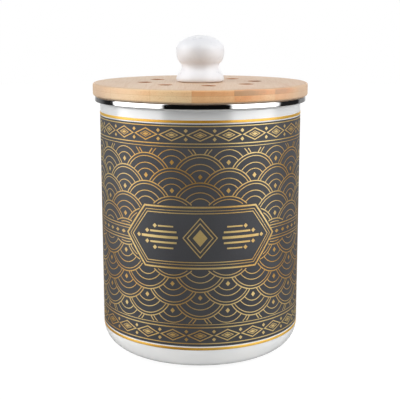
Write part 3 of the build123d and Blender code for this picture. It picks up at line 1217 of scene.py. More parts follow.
@dataclass
class PrintedWrap:
    """The fired print round the can: a charcoal field between gold borders, covered with gold
    scales, with a chain of lozenges along each border, a pointed panel front and back, a belt
    between them and a tall nested lozenge on each side.

    Attributes:
        wall: Radius of the wall under the print.
        field_rise: Height of the charcoal's face above the wall.
        line_rise: Height of the gold's face above the wall.
        hidden_depth: How far each layer reaches into the one under it.
        crossing_lift: How much higher a family of lines lies that crosses another.
        scale_rings: How far each arc of a scale lies inside its edge.
        scale_step: Longest straight piece of an arc.
        scale_root: Half length and height of the lozenge at a scale's root.
        scale_root_room: The same for the room that has to be free for it.
        panel_lines: Inset and width of each line round a panel.
        panel_nest: Half length and height of each lozenge that is drawn in a panel.
        panel_bars: Level from the middle, start, end and width of each bar beside them.
        side_size: Half length and height of the tall lozenge on each side.
        clearance: Free charcoal round the panels, belts, sides and chains.
    """

    wall: float
    field_bottom: float = 20.8
    field_top: float = 188.2
    field_rise: float = 0.12
    line_rise: float = 0.22
    hidden_depth: float = 0.06
    border_levels: tuple[float, float] = (18.85, 190.0)
    border_width: float = 1.95
    hem_levels: tuple[float, float] = (23.1, 186.7)
    hem_width: float = 0.75
    line_width: float = 0.76
    fine_width: float = 0.6
    hair_width: float = 0.48
    crossing_lift: float = 0.01
    segments: int = 384
    scale_count: int = 12
    scale_rings: tuple[float, ...] = (0.4, 2.6, 7.6, 12.0)
    scale_step: float = 2.2
    scale_root_level: float = 3.9
    scale_root: Point = (1.7, 2.0)
    scale_root_room: Point = (2.0, 2.2)
    chain_count: int = 24
    chain_gap: float = 1.1
    chain_inset: float = 6.3
    chain_height: float = 4.2
    chain_inner_inset: float = 2.0
    chain_heart: Point = (2.6, 1.1)
    chain_bead: Point = (1.5, 1.5)
    chain_bead_level: float = 3.1
    chain_rails: tuple[float, float] = (12.6, 14.9)
    panel_half_length: float = 60.0
    panel_shoulder: float = 43.0
    panel_half_height: float = 23.0
    panel_lines: tuple[tuple[float, float], ...] = ((0.0, 1.25), (2.6, 0.48), (4.6, 0.6))
    panel_nest: tuple[Point, ...] = ((12.6, 14.8), (9.4, 11.0))
    panel_heart: Point = (5.4, 6.4)
    panel_bars: tuple[tuple[float, float, float, float], ...] = (
        (0.0, 16.5, 46.0, 1.9), (4.1, 17.5, 38.5, 1.4), (8.2, 20.0, 32.0, 1.1),
    )
    panel_bead: Point = (1.7, 1.7)
    panel_bead_gap: float = 2.6
    belt_half_height: float = 5.4
    belt_inner_inset: float = 2.1
    belt_line_gap: float = 0.4
    belt_bead_gap: float = 5.0
    belt_bead_pitch: float = 7.5
    belt_bead: Point = (2.3, 1.5)
    side_size: Point = (24.0, 52.0)
    side_spacing: float = 4.4
    side_lines: int = 4
    side_heart: Point = (4.2, 9.0)
    clearance: float = 1.7
    charcoal: FiredTransfer = FiredTransfer()
    gold: GoldLustre = GoldLustre()
    border_gold: GoldLustre = GoldLustre(
        title="gold_border_fired", pale="#DDB14A", deep="#BC8A28", drift_mm=70.0
    )

    @property
    def middle(self) -> float:
        """Level of the print's middle."""
        return (self.field_bottom + self.field_top) / 2

    @property
    def girth(self) -> float:
        """Length of the print round the wall."""
        return TURN * self.wall

    def new_relief(self, lift: float = 0.0) -> GoldRelief:
        """Return an empty relief, lifted a little where lines of two families cross."""
        inner = self.wall + self.field_rise - self.hidden_depth
        return GoldRelief(self.wall, inner, self.wall + self.line_rise + lift)

    def build_field(self) -> Piece:
        """Return the charcoal field, a thin tube on the wall."""
        outer = self.wall + self.field_rise
        inner = self.wall - self.hidden_depth
        ease = self.field_rise / 3
        outline = rounded(
            [
                Corner(inner, self.field_bottom),
                Corner(outer, self.field_bottom, ease),
                Corner(outer, self.field_top, ease),
                Corner(inner, self.field_top),
            ],
            steps=2,
        )
        return turned("charcoal_print_field", outline, self.charcoal, self.segments)

    def build_ring(self, name: str, level: float, width: float, gold: Finish) -> Piece:
        """Build one gold line round the whole can.

        Args:
            name: The piece's name.
            level: Level of the line's middle.
            width: The line's width.
            gold: Its finish.

        Returns:
            The new object.
        """
        outer = self.wall + self.line_rise
        inner = self.wall - self.hidden_depth
        low, high = level - width / 2, level + width / 2
        ease = self.field_rise / 2
        outline = rounded(
            [Corner(inner, low), Corner(outer, low, ease), Corner(outer, high, ease),
             Corner(inner, high)],
            steps=3,
        )
        return turned(name, outline, gold, self.segments)

    def panel_corners(self, inset: float) -> list[Point]:
        """Give the pointed panel's corners about its centre.

        Args:
            inset: How far its sides are moved in.

        Returns:
            The six corners, from the right one on.
        """
        rise, run = self.panel_half_height, self.panel_half_length - self.panel_shoulder
        slant = math.hypot(rise, run)
        height = rise - inset
        tip = self.panel_half_length - inset * slant / rise
        shoulder = tip - run * height / rise
        return [(tip, 0), (shoulder, height), (-shoulder, height), (-tip, 0),
                (-shoulder, -height), (shoulder, -height)]

    def in_open_field(self, place: Point) -> bool:
        """Say whether the scales show at a place.

        Args:
            place: Length round the wall from the front, and height from the print's middle.

        Returns:
            True outside the belts, panels, side lozenges and chains.
        """
        along, rise = place[0], abs(place[1])
        top = self.hem_levels[1] - self.chain_rails[1] - self.middle
        if rise > top - self.clearance or rise < self.belt_half_height + self.clearance:
            return False
        quarter = self.girth / 4
        from_panel = abs((along + quarter) % (2 * quarter) - quarter)
        from_side = quarter - from_panel
        tip, shoulder = self.panel_corners(-self.clearance)[:2]
        in_panel = rise < shoulder[1] and (
            (from_panel - shoulder[0]) * shoulder[1] < (tip[0] - shoulder[0]) * (shoulder[1] - rise)
        )
        right, upper = lozenge_corners(self.side_size, -self.clearance)[:2]
        in_side = from_side / right[0] + rise / upper[1] < 1
        return not (in_panel or in_side)

    def add_scale(self, gold: GoldRelief, column: float, row: int, up: int) -> None:
        """Add the arcs of one scale, cut off by the scales in front of it.

        Args:
            gold: The relief to add to.
            column: Place of the scale's centre round the wall, in scales.
            row: Its row, counted from the middle.
            up: 1 above the middle and -1 below it.
        """
        radius = self.girth / self.scale_count / 2
        step = radius / 2
        centre = (column * 2 * radius, row * step)
        front = [(side * radius, -step) for side in (-1, 1)]
        front += [(side * radius, -2 * step) for side in (-2, 0, 2)]

        def shows(place: Point) -> bool:
            """Return whether an arc shows at a place about the middle of the print."""
            from_centre = (place[0] - centre[0], place[1] - centre[1])
            return self.in_open_field(place) and all(
                math.dist(from_centre, other) > radius for other in front
            )

        for inset in self.scale_rings:
            ring = radius - inset
            width = self.line_width if inset < 1 else self.fine_width
            steps = max(10, math.ceil(math.pi * ring / self.scale_step))
            for stretch in kept(arc(centre, ring, math.pi, 0), shows, steps):
                length = sum(math.dist(a, b) for a, b in zip(stretch, stretch[1:]))
                if length > 2 * width:
                    gold.line([(x, self.middle + up * y) for x, y in stretch][::up], width)
        root = (centre[0], centre[1] + self.scale_root_level)
        if all(shows(corner) for corner in moved(lozenge_corners(self.scale_root_room), *root)):
            gold.lozenge((root[0], self.middle + up * root[1]), self.scale_root)

    def build_scales(self) -> Piece:
        """Return the overlapping scales, mirrored about the middle."""
        gold = self.new_relief()
        radius = self.girth / self.scale_count / 2
        rows = math.ceil((self.field_top - self.middle) / (radius / 2))
        for up in (1, -1):
            for row in range(-1, rows + 1):
                for column in range(self.scale_count):
                    self.add_scale(gold, column + row % 2 / 2, row, up)
        return gold.piece("gold_scales", self.gold)

    def build_chains(self) -> Piece:
        """Return the chains of lozenges along both borders, with their rails."""
        gold = self.new_relief(self.crossing_lift)
        pitch = self.girth / self.chain_count
        link_size = (pitch / 2 - self.chain_gap, self.chain_height)
        lines = ((0.0, self.line_width), (self.chain_inner_inset, self.hair_width))
        for border, inward in ((self.hem_levels[1], -1), (self.hem_levels[0], 1)):
            level = border + inward * self.chain_inset
            for link in range(self.chain_count):
                along = link * pitch
                for inset, width in lines:
                    gold.outline(moved(lozenge_corners(link_size, inset), along, level), width)
                gold.lozenge((along, level), self.chain_heart)
                for side in (-1, 1):
                    bead_level = level + side * self.chain_bead_level
                    gold.lozenge((along + pitch / 2, bead_level), self.chain_bead)
            for rail, width in zip(self.chain_rails, (self.line_width, self.hair_width)):
                gold.hoop(border + inward * rail, width)
        return gold.piece("gold_lozenge_chains", self.gold)

    def build_panel(self, name: str, along: float) -> Piece:
        """Return a pointed panel with a nested lozenge and tapering bars in it.

        Args:
            name: The piece's name.
            along: Place of the panel's middle round the wall.

        Returns:
            The new object.
        """
        gold = self.new_relief(2 * self.crossing_lift)
        for inset, width in self.panel_lines:
            gold.outline(moved(self.panel_corners(inset), along, self.middle), width)
        for size in self.panel_nest:
            gold.outline(moved(lozenge_corners(size), along, self.middle), self.line_width)
        gold.lozenge((along, self.middle), self.panel_heart)
        for rise, start, end, width in self.panel_bars:
            for side in (-1, 1):
                for up in (-1, 1) if rise else (1,):
                    level = self.middle + up * rise
                    ends = [(along + side * start, level), (along + side * end, level)]
                    gold.line(gold.divided(ends[::side], closed=False), width)
                    bead = along + side * (end + self.panel_bead_gap)
                    gold.lozenge((bead, level), self.panel_bead)
        return gold.piece(name, self.gold)

    def build_side(self, name: str, along: float) -> Piece:
        """Return a tall nested lozenge.

        Args:
            name: The piece's name.
            along: Place of its middle round the wall.

        Returns:
            The new object.
        """
        gold = self.new_relief(2 * self.crossing_lift)
        for line in range(self.side_lines):
            width = self.fine_width if line else self.line_width
            corners = lozenge_corners(self.side_size, line * self.side_spacing)
            gold.outline(moved(corners, along, self.middle), width)
        gold.lozenge((along, self.middle), self.side_heart)
        return gold.piece(name, self.gold)

    def build_belts(self) -> Piece:
        """Return the four belts between the panels and the side lozenges."""
        gold = self.new_relief(self.crossing_lift)
        quarter = self.girth / 4
        slope = (self.panel_half_length - self.panel_shoulder) / self.panel_half_height
        side_length, side_height = self.side_size
        lean = side_length / side_height
        inner_height = self.belt_half_height - self.belt_inner_inset
        lines = ((self.belt_half_height, self.line_width), (inner_height, self.hair_width))
        for belt in range(4):
            for rise, width in lines:
                start = self.panel_half_length - rise * slope + self.belt_line_gap
                end = quarter - (side_length - rise * lean) - self.belt_line_gap
                for up in (-1, 1):
                    level = self.middle + up * rise
                    self.add_belt_line(gold, belt, (start, end), level, width)
            start = self.panel_half_length + self.belt_bead_gap
            end = quarter - side_length - self.belt_bead_gap
            beads = max(2, round((end - start) / self.belt_bead_pitch) + 1)
            for bead in range(beads):
                along = start + (end - start) * bead / (beads - 1)
                gold.lozenge((self.belt_place(belt, along), self.middle), self.belt_bead)
        return gold.piece("gold_belts", self.gold)

    def belt_place(self, belt: int, along: float) -> float:
        """Return a place round the wall from its distance to the nearest panel's middle."""
        panel = 0.0 if belt in (0, 3) else self.girth / 2
        return panel + (along if belt in (0, 2) else -along)

    def add_belt_line(
        self, gold: GoldRelief, belt: int, ends: tuple[float, float], level: float, width: float
    ) -> None:
        """Add one line of a belt from a panel to the next side lozenge."""
        places = sorted(self.belt_place(belt, along) for along in ends)
        gold.line(gold.divided([(place, level) for place in places], closed=False), width)

    def build(self) -> None:
        """Make the print and seat it on the can."""
        pieces = [self.build_field()]
        for kind, levels, width, gold in (
            ("border", self.border_levels, self.border_width, self.border_gold),
            ("hem", self.hem_levels, self.hem_width, self.gold),
        ):
            for name, level in zip(("lower", "upper"), levels):
                pieces.append(self.build_ring(f"gold_{kind}_{name}", level, width, gold))
        pieces += [self.build_scales(), self.build_chains(), self.build_belts()]
        half = self.girth / 2
        for name, along in (("front", 0.0), ("back", half)):
            pieces.append(self.build_panel(f"gold_panel_{name}", along))
        for name, along in (("right", half / 2), ("left", -half / 2)):
            pieces.append(self.build_side(f"gold_side_lozenge_{name}", along))
        for piece in pieces:
            report(piece, Body.CANISTER)


@dataclass
class Lid:
    """The bamboo board with its plug ring, seal, knob and filter collar.

    Attributes:
        vent_circle: Radius of the circle that the vents lie on.
        vent_start_degrees: Angle of the first vent from +X.
        vent_edge: How far the vents' eased edges reach out.
        pilot_cover: Wood left above the collar's pilot holes.
        drill_overrun: How far the drill stands out of the board on both sides.
        seal_lip_rise: How much higher a lip's tip is than its root.
        knob_neck_easing: Length of the handle with which the neck turns outwards.
        knob_belly_easing: Length of the slanted underside that the belly's turn takes.
        knob_belly_handle: Place of that turn's handle along it, where 1 is the turn's start.
    """

    board_rounding: float = 1.8
    board_segments: int = 320
    vent_count: int = 8
    vent_radius: float = 5.75
    vent_circle: float = 44.0
    vent_start_degrees: float = 8.0
    vent_edge: float = 0.35
    vent_segments: int = 48
    bore_radius: float = 2.75
    counterbore_radius: float = 6.6
    counterbore_depth: float = 4.9
    pilot_circle: float = 63.1
    pilot_radius: float = 1.55
    pilot_cover: float = 3.4
    pilot_count: int = 4
    pilot_start_degrees: float = 45.0
    pilot_segments: int = 20
    drill_overrun: float = 2.0
    plug_wall: float = 9.4
    plug_chamfer: float = 1.5
    plug_rounding: float = 0.5
    groove_height: float = 7.0
    groove_width: float = 6.0
    groove_depth: float = 3.0
    groove_rounding: float = 0.2
    seal_lips: int = 3
    seal_lip_root: float = 0.9
    seal_lip_tip: float = 0.4
    seal_lip_rise: float = 0.7
    seal_rounding: float = 0.15
    seal_root_rounding: float = 0.1
    seal_tip_rounding: float = 0.12
    knob_head_level: float = 24.9
    knob_belly_radius: float = 18.6
    knob_belly_level: float = 19.2
    knob_neck_radius: float = 14.7
    knob_neck_level: float = 11.8
    knob_neck_easing: float = 3.0
    knob_belly_easing: float = 2.8
    knob_belly_handle: float = 1.7
    knob_foot_radius: float = 18.9
    knob_foot_rounding: float = 2.6
    gasket_recess_radius: float = 14.2
    gasket_thickness: float = 1.0
    pocket_radius: float = 4.1
    pocket_depth: float = 16.2
    bamboo: LaminatedBamboo = LaminatedBamboo()
    glaze: SatinGlaze = SatinGlaze()
    silicone: MouldedRubber = MouldedRubber()
    nitrile: MouldedRubber = MouldedRubber(
        title="nitrile_rubber_moulded", roughness=0.6, ior=1.52, colour="#1E1E1F", dust="#2B2B2C"
    )
    brass: WorkedMetal = WorkedMetal()
    zinc: WorkedMetal = WorkedMetal(
        title="steel_zinc_plated", roughness=0.32, colour="#B9BDC2", cloud="#A6ABB1"
    )
    plastic: MouldedPolypropylene = MouldedPolypropylene()

    def build_board(self) -> Piece:
        """Return the round board with its vents, bores and pilot holes."""
        radius = radius_of("lid_board")
        low, high = bottom_of("lid_board"), top_of("lid_board")
        edge = self.board_rounding
        rim = radius - edge
        support = rim - 0.5
        end_of_bore = low + self.counterbore_depth
        wide = self.vent_radius + self.vent_edge
        ease = self.vent_edge * 0.3
        below, above = low - self.drill_overrun, high + self.drill_overrun
        outline = rounded(
            [
                Corner(self.bore_radius, end_of_bore),
                Corner(self.counterbore_radius, end_of_bore),
                Corner(self.counterbore_radius, low),
                Corner(support, low),
                Corner(radius, low, edge),
                Corner(radius, high, edge),
                Corner(support, high),
                Corner(self.bore_radius, high),
            ],
            steps=10,
        )
        board = turned("bamboo_lid_board", outline, self.bamboo, self.board_segments)
        vent = [
            (0.0, below), (wide + 1, below), (wide, low - 0.01),
            (self.vent_radius, low + self.vent_edge), (self.vent_radius, high - self.vent_edge),
            (self.vent_radius + ease, high - ease),
            (wide, high + 0.01), (wide + 1, above), (0.0, above),
        ]
        pilot = [
            (0.0, below), (self.pilot_radius, below),
            (self.pilot_radius, high - self.pilot_cover), (0.0, high - self.pilot_cover),
        ]
        for outline, circle, count, start_degrees, segments in (
            (vent, self.vent_circle, self.vent_count, self.vent_start_degrees, self.vent_segments),
            (pilot, self.pilot_circle, self.pilot_count, self.pilot_start_degrees,
             self.pilot_segments),
        ):
            self.drill(board, outline, circle, count, start_degrees, segments)
        return board

    def drill(
        self,
        board: Piece,
        outline: Sequence[Point],
        circle: float,
        count: int,
        start_degrees: float,
        segments: int,
    ) -> None:
        """Cut a ring of round holes out of the board.

        Args:
            board: The board's object, whose mesh is changed.
            outline: The drill's outline, from the axis to the axis.
            circle: Radius of the circle that the holes lie on.
            count: How many holes.
            start_degrees: Angle of the first hole from +X.
            segments: Steps round each hole.
        """
        bit = turned("drill", outline, self.bamboo, segments)
        for hole in range(count):
            angle = math.radians(start_degrees + 360 * hole / count)
            bit.location = (circle * MM * math.cos(angle), circle * MM * math.sin(angle), 0)
            cut = board.modifiers.new("cut", "BOOLEAN")
            cut.operation = "DIFFERENCE"
            cut.solver = "EXACT"
            cut.object = bit
            bpy.context.view_layer.update()
            shaped = board.evaluated_get(bpy.context.evaluated_depsgraph_get())
            holed = bpy.data.meshes.new_from_object(shaped)
            board.modifiers.clear()
            plain = board.data
            board.data = holed
            bpy.data.meshes.remove(plain)
        bpy.data.objects.remove(bit)
        board.data.name = board.name
        board.data.set_sharp_from_angle(angle=math.radians(SHARP_DEGREES))
        rounded_off = [abs(face.normal.z) < LEVEL_NORMAL for face in board.data.polygons]
        board.data.polygons.foreach_set("use_smooth", rounded_off)

    def build_plug_ring(self) -> Piece:
        """Return the ring under the board, with the seal's groove round it."""
        outside = radius_of("plug_ring")
        inside = outside - self.plug_wall
        low, high = bottom_of("plug_ring"), top_of("plug_ring")
        groove_low = low + self.groove_height
        groove_high = groove_low + self.groove_width
        deep = outside - self.groove_depth
        outline = rounded(
            [
                Corner(inside, low, self.plug_rounding),
                Corner(outside - self.plug_chamfer, low, self.plug_rounding),
                Corner(outside, low + self.plug_chamfer, self.plug_rounding),
                Corner(outside, groove_low, self.groove_rounding),
                Corner(deep, groove_low),
                Corner(deep, groove_high),
                Corner(outside, groove_high, self.groove_rounding),
                Corner(outside, high),
                Corner(inside, high),
            ],
            steps=5,
        )
        return turned("bamboo_plug_ring", outline, self.bamboo)

    def build_seal(self) -> Piece:
        """Return the silicone ring with its thin lips."""
        tip = radius_of("lid_seal")
        root = radius_of("plug_ring")
        deep = root - self.groove_depth
        low = bottom_of("plug_ring") + self.groove_height
        pitch = self.groove_width / self.seal_lips
        high = low + self.groove_width
        face = root - self.seal_lip_tip
        corners = [Corner(deep, low), Corner(face, low, self.seal_rounding)]
        for lip in range(self.seal_lips):
            root_level = low + (lip + 0.5) * pitch - self.seal_lip_rise / 2
            tip_level = root_level + self.seal_lip_rise
            corners += [
                Corner(face, root_level - self.seal_lip_root / 2, self.seal_root_rounding),
                Corner(tip, tip_level - self.seal_lip_tip / 2, self.seal_tip_rounding),
                Corner(tip, tip_level + self.seal_lip_tip / 2, self.seal_tip_rounding),
                Corner(face, root_level + self.seal_lip_root / 2, self.seal_root_rounding),
            ]
        corners += [Corner(face, high, self.seal_rounding), Corner(deep, high)]
        return turned("silicone_lid_seal", rounded(corners, steps=3), self.silicone)

    def build_knob(self) -> Piece:
        """Return the knob: flared foot, waisted neck, slanted underside and domed head."""
        base = bottom_of("knob")
        crown = top_of("knob")
        head = radius_of("knob")
        foot_rounding = self.knob_foot_rounding
        foot = (self.knob_foot_radius, base + foot_rounding)
        neck = (self.knob_neck_radius, base + self.knob_neck_level)
        belly = (self.knob_belly_radius, base + self.knob_belly_level)
        widest = (head, base + self.knob_head_level)
        reach = math.dist(foot, neck) / 3
        slope = (belly[1] - neck[1]) / (belly[0] - neck[0])
        corner = (head, belly[1] + (head - belly[0]) * slope)
        dome = (crown - widest[1]) * ELLIPSE_HANDLE
        bottom = rounded(
            [
                Corner(self.gasket_recess_radius, base + self.gasket_thickness),
                Corner(self.gasket_recess_radius, base),
                Corner(self.knob_foot_radius, base, foot_rounding),
                Corner(*foot),
            ],
            closed=False,
            steps=10,
        )
        flank = curve([foot, (foot[0], foot[1] + reach), (neck[0], neck[1] - reach), neck], 24)
        turn = straight(belly, neck)(self.knob_belly_easing / math.dist(neck, belly))
        eased = straight(belly, turn)(self.knob_belly_handle)
        underside = curve([neck, (neck[0], neck[1] + self.knob_neck_easing), eased, turn], 14)
        side = curve([turn, corner, widest], 20)
        crown_handle = (head * ELLIPSE_HANDLE, crown)
        top = curve([widest, (head, widest[1] + dome), crown_handle, (0.0, crown)], 32)
        pocket_top = base + self.pocket_depth
        pocket = [
            (0.0, pocket_top), (self.pocket_radius, pocket_top),
            (self.pocket_radius, base + self.gasket_thickness),
        ]
        outline = pocket + bottom[:-1] + flank[1:] + underside[1:] + side[1:] + top[1:]
        return turned("ceramic_knob", outline, self.glaze)

    def build(self) -> None:
        """Make the lid's pieces, seat them and finish the CAD nodes that stay."""
        report(self.build_board(), Body.LID, Slot.BAMBOO, "lid_board")
        report(self.build_plug_ring(), Body.LID, Slot.BAMBOO, "plug_ring")
        report(self.build_seal(), Body.LID, Slot.SILICONE, "lid_seal")
        report(self.build_knob(), Body.LID, Slot.GLAZE, "knob")
        refinish("knob_gasket", self.nitrile)
        refinish("knob_insert", self.brass)
        refinish("filter_seat", self.plastic)
        for node in ("knob_screw", "knob_washer", "seat_screws"):
            refinish(node, self.zinc)


@dataclass
class FilterCartridge:
    """The moulded tray and the charcoal pad in it.

    Attributes:
        pad_rounding: Rounding of the pad's edges.
        pad_sag: How far the pad's face falls at its edge.
        pad_rings: Rings of corners in each face.
        pad_ripple: Height of the lumps in its face.
        pad_waves: How many waves make the lumps.
        pad_wave_number: Greatest radians per metre of a wave.
        pad_fade: Width of the rim in which the lumps fade.
        pad_fill: Share of the pad that is stuffed. Not used.
        seed: Start of the random numbers.
    """

    pad_rounding: float = 1.3
    pad_sag: float = 0.175
    pad_rings: int = 26
    pad_ripple: float = 0.16
    pad_waves: int = 14
    pad_wave_number: float = 420.0
    pad_fade: float = 4.0
    pad_fill: float = 0.7
    seed: int = 11
    felt: CharcoalFelt = CharcoalFelt()
    plastic: MouldedPolypropylene = MouldedPolypropylene()

    def build_pad(self) -> Piece:
        """Return the pad: flat below, crowned above, with soft edges and a lumpy face."""
        radius = radius_of("filter_pad")
        low, high = bottom_of("filter_pad"), top_of("filter_pad")
        edge = self.pad_rounding
        shoulder = radius - edge
        side = rounded(
            [Corner(shoulder / 2, low), Corner(radius, low, edge), Corner(radius, high, edge),
             Corner(shoulder / 2, high)],
            closed=False,
            steps=6,
        )[1:-1]
        rings = [shoulder * ring / self.pad_rings for ring in range(self.pad_rings)]
        floor = [(place, low) for place in rings]
        face = [(place, high - self.pad_sag * (place / shoulder) ** 4) for place in rings[::-1]]
        pad = turned("charcoal_filter_pad", floor + side + face, self.felt, 160)
        random = np.random.default_rng(self.seed)
        waves = random.uniform(-1, 1, (self.pad_waves, 2)) * self.pad_wave_number
        phases = random.uniform(0, TURN, self.pad_waves)
        for vertex in pad.data.vertices:
            rise = (vertex.co.z / MM - low) / (high - low)
            if rise < 0.5:
                continue
            swell = np.sin(waves @ np.array(vertex.co[:2]) + phases).mean()
            fade = min(1.0, (radius - math.hypot(*vertex.co[:2]) / MM) / self.pad_fade)
            vertex.co.z += (swell * 2 - 1) * self.pad_ripple * fade * MM
        return pad

    def build(self) -> None:
        """Make the pad, seat it and finish the tray."""
        pad = self.build_pad()
        report(pad, Body.TRAY, Slot.FELT, "filter_pad")
        refinish("filter_tray", self.plastic)


def bare_tree(holder: bpy.types.Material | bpy.types.World) -> Tree:
    """Return the node tree of a new material or world, with nothing in it."""
    holder.use_nodes = True
    holder.node_tree.nodes.clear()
    return holder.node_tree


@dataclass(frozen=True)
class Softbox:
    """A wide soft lamp that faces the caddy. Its face shows in no gloss: the room that the gloss
    mirrors is painted on a dome.

    Attributes:
        name: Name of the lamp.
        azimuth: Degrees from the front, positive to the right.
        elevation: Degrees above the floor.
        size: Width and height in metres.
        radiance: Brightness of its face, where 1 is white.
        distance: Metres from the middle of the caddy.
        aim: Height in metres that it faces.
    """

    name: str
    azimuth: float
    elevation: float
    size: tuple[float, float]
    radiance: float
    distance: float = 1.35
    aim: float = 0.12

    def build(self) -> None:
        """Add the lamp to the scene."""
        lamp = bpy.data.lights.new(self.name, "AREA")
        lamp.shape = "RECTANGLE"
        lamp.size, lamp.size_y = self.size
        lamp.energy = self.radiance * math.pi * self.size[0] * self.size[1]
        made = placed(self.name, lamp)
        turn, rise = math.radians(self.azimuth), math.radians(self.elevation)
        away = self.distance * math.cos(rise)
        made.location = (
            away * math.sin(turn),
            -away * math.cos(turn),
            self.aim + self.distance * math.sin(rise),
        )
        made.rotation_euler = (math.pi / 2 - rise, 0, turn)
        made.visible_camera = False
        made.visible_glossy = False


@dataclass(frozen=True)
class MirroredRoom:
    """What the steel and the gloss mirror: a dome painted with the dark room behind the camera,
    bright screens at its sides, a dim floor and the white wall behind the caddy. No other ray
    sees it.

    Attributes:
        radius: Metres from the caddy.
        walls: Azimuth in degrees and brightness, each pair a corner of the painted levels.
        roof_level: Brightness straight up.
        rear_level: Brightness of the white wall behind the caddy.
        rear_azimuth: Azimuths in degrees between which the white wall behind begins.
        rear_edge: Elevations in degrees between which that wall rises from the dim floor.
        floor_level: Brightness straight down.
        floor_edge: Elevations in degrees between which the walls fade into the floor.
        roof_edge: Elevations in degrees between which the walls fade into the white roof.
        pole: Elevation in degrees of the last row of corners, at the top and the bottom.
        columns: Corners in each row.
        rows: Rows of faces.
    """

    radius: float = 2.6
    walls: tuple[tuple[float, float], ...] = (
        (-180, 0.3), (-142, 0.24), (-130, 0.12), (-122, 0.03), (-112, 0.015), (-106, 0.05),
        (-101, 3.8), (-45, 3.8), (-38, 0.005), (31, 0.005), (38, 3.8), (84, 3.8), (94, 0.02),
        (129, 0.02), (135, 0.3), (180, 0.3),
    )
    rear_azimuth: tuple[float, float] = (150.0, 168.0)
    rear_edge: tuple[float, float] = (-5.0, 3.0)
    floor_level: float = 0.03
    floor_edge: tuple[float, float] = (-22.0, -11.0)
    roof_edge: tuple[float, float] = (50.0, 66.0)
    roof_level: float = 1.0
    rear_level: float = 1.0
    pole: float = 89.0
    columns: int = 240
    rows: int = 60

    def level(self, azimuth: float, elevation: float) -> float:
        """Give the brightness in a direction.

        Args:
            azimuth: Degrees from the front, positive to the right.
            elevation: Degrees above the floor.

        Returns:
            The brightness, where 1 is white.
        """

        def past(value: float, edge: tuple[float, float]) -> float:
            """Return how far a value is through an edge, from 0 to 1."""
            return float(np.clip((value - edge[0]) / (edge[1] - edge[0]), 0, 1))

        wall = float(np.interp(azimuth, *zip(*self.walls)))
        rear = past(abs(azimuth), self.rear_azimuth) * past(elevation, self.rear_edge)
        wall += (self.rear_level - wall) * rear
        wall = self.floor_level + (wall - self.floor_level) * past(elevation, self.floor_edge)
        return wall + (self.roof_level - wall) * past(elevation, self.roof_edge)

    def build(self) -> Piece:
        """Return the painted dome."""
        places, paint = [], []
        for row in range(self.rows + 1):
            elevation = self.pole * (2 * row / self.rows - 1)
            away = self.radius * math.cos(math.radians(elevation))
            height = self.radius * math.sin(math.radians(elevation))
            for column in range(self.columns):
                azimuth = -180 + 360 * column / self.columns
                turn = math.radians(azimuth)
                places.append((away * math.sin(turn), -away * math.cos(turn), height))
                paint.append(self.level(azimuth, elevation))
        faces = []
        for row in range(self.rows):
            for column in range(self.columns):
                after = (column + 1) % self.columns
                low, high = row * self.columns, (row + 1) * self.columns
                faces.append((low + column, high + column, high + after, low + after))
        mesh = bpy.data.meshes.new("mirrored_room")
        mesh.from_pydata(places, [], faces)
        levels = mesh.color_attributes.new("level", "FLOAT_COLOR", "POINT")
        levels.data.foreach_set("color", np.repeat(np.array(paint), 4))
        wall_paint = bpy.data.materials.new("mirrored_room_paint")
        tree = bare_tree(wall_paint)
        level = add_node(tree, "VertexColor", layer_name="level")
        glow = add_node(tree, "Emission", {"Color": level})
        add_node(tree, "OutputMaterial", {"Surface": glow})
        mesh.materials.append(wall_paint)
        room = placed("mirrored_room", mesh)
        room.visible_camera = False
        room.visible_diffuse = False
        room.visible_shadow = False
        room.visible_transmission = False
        return room


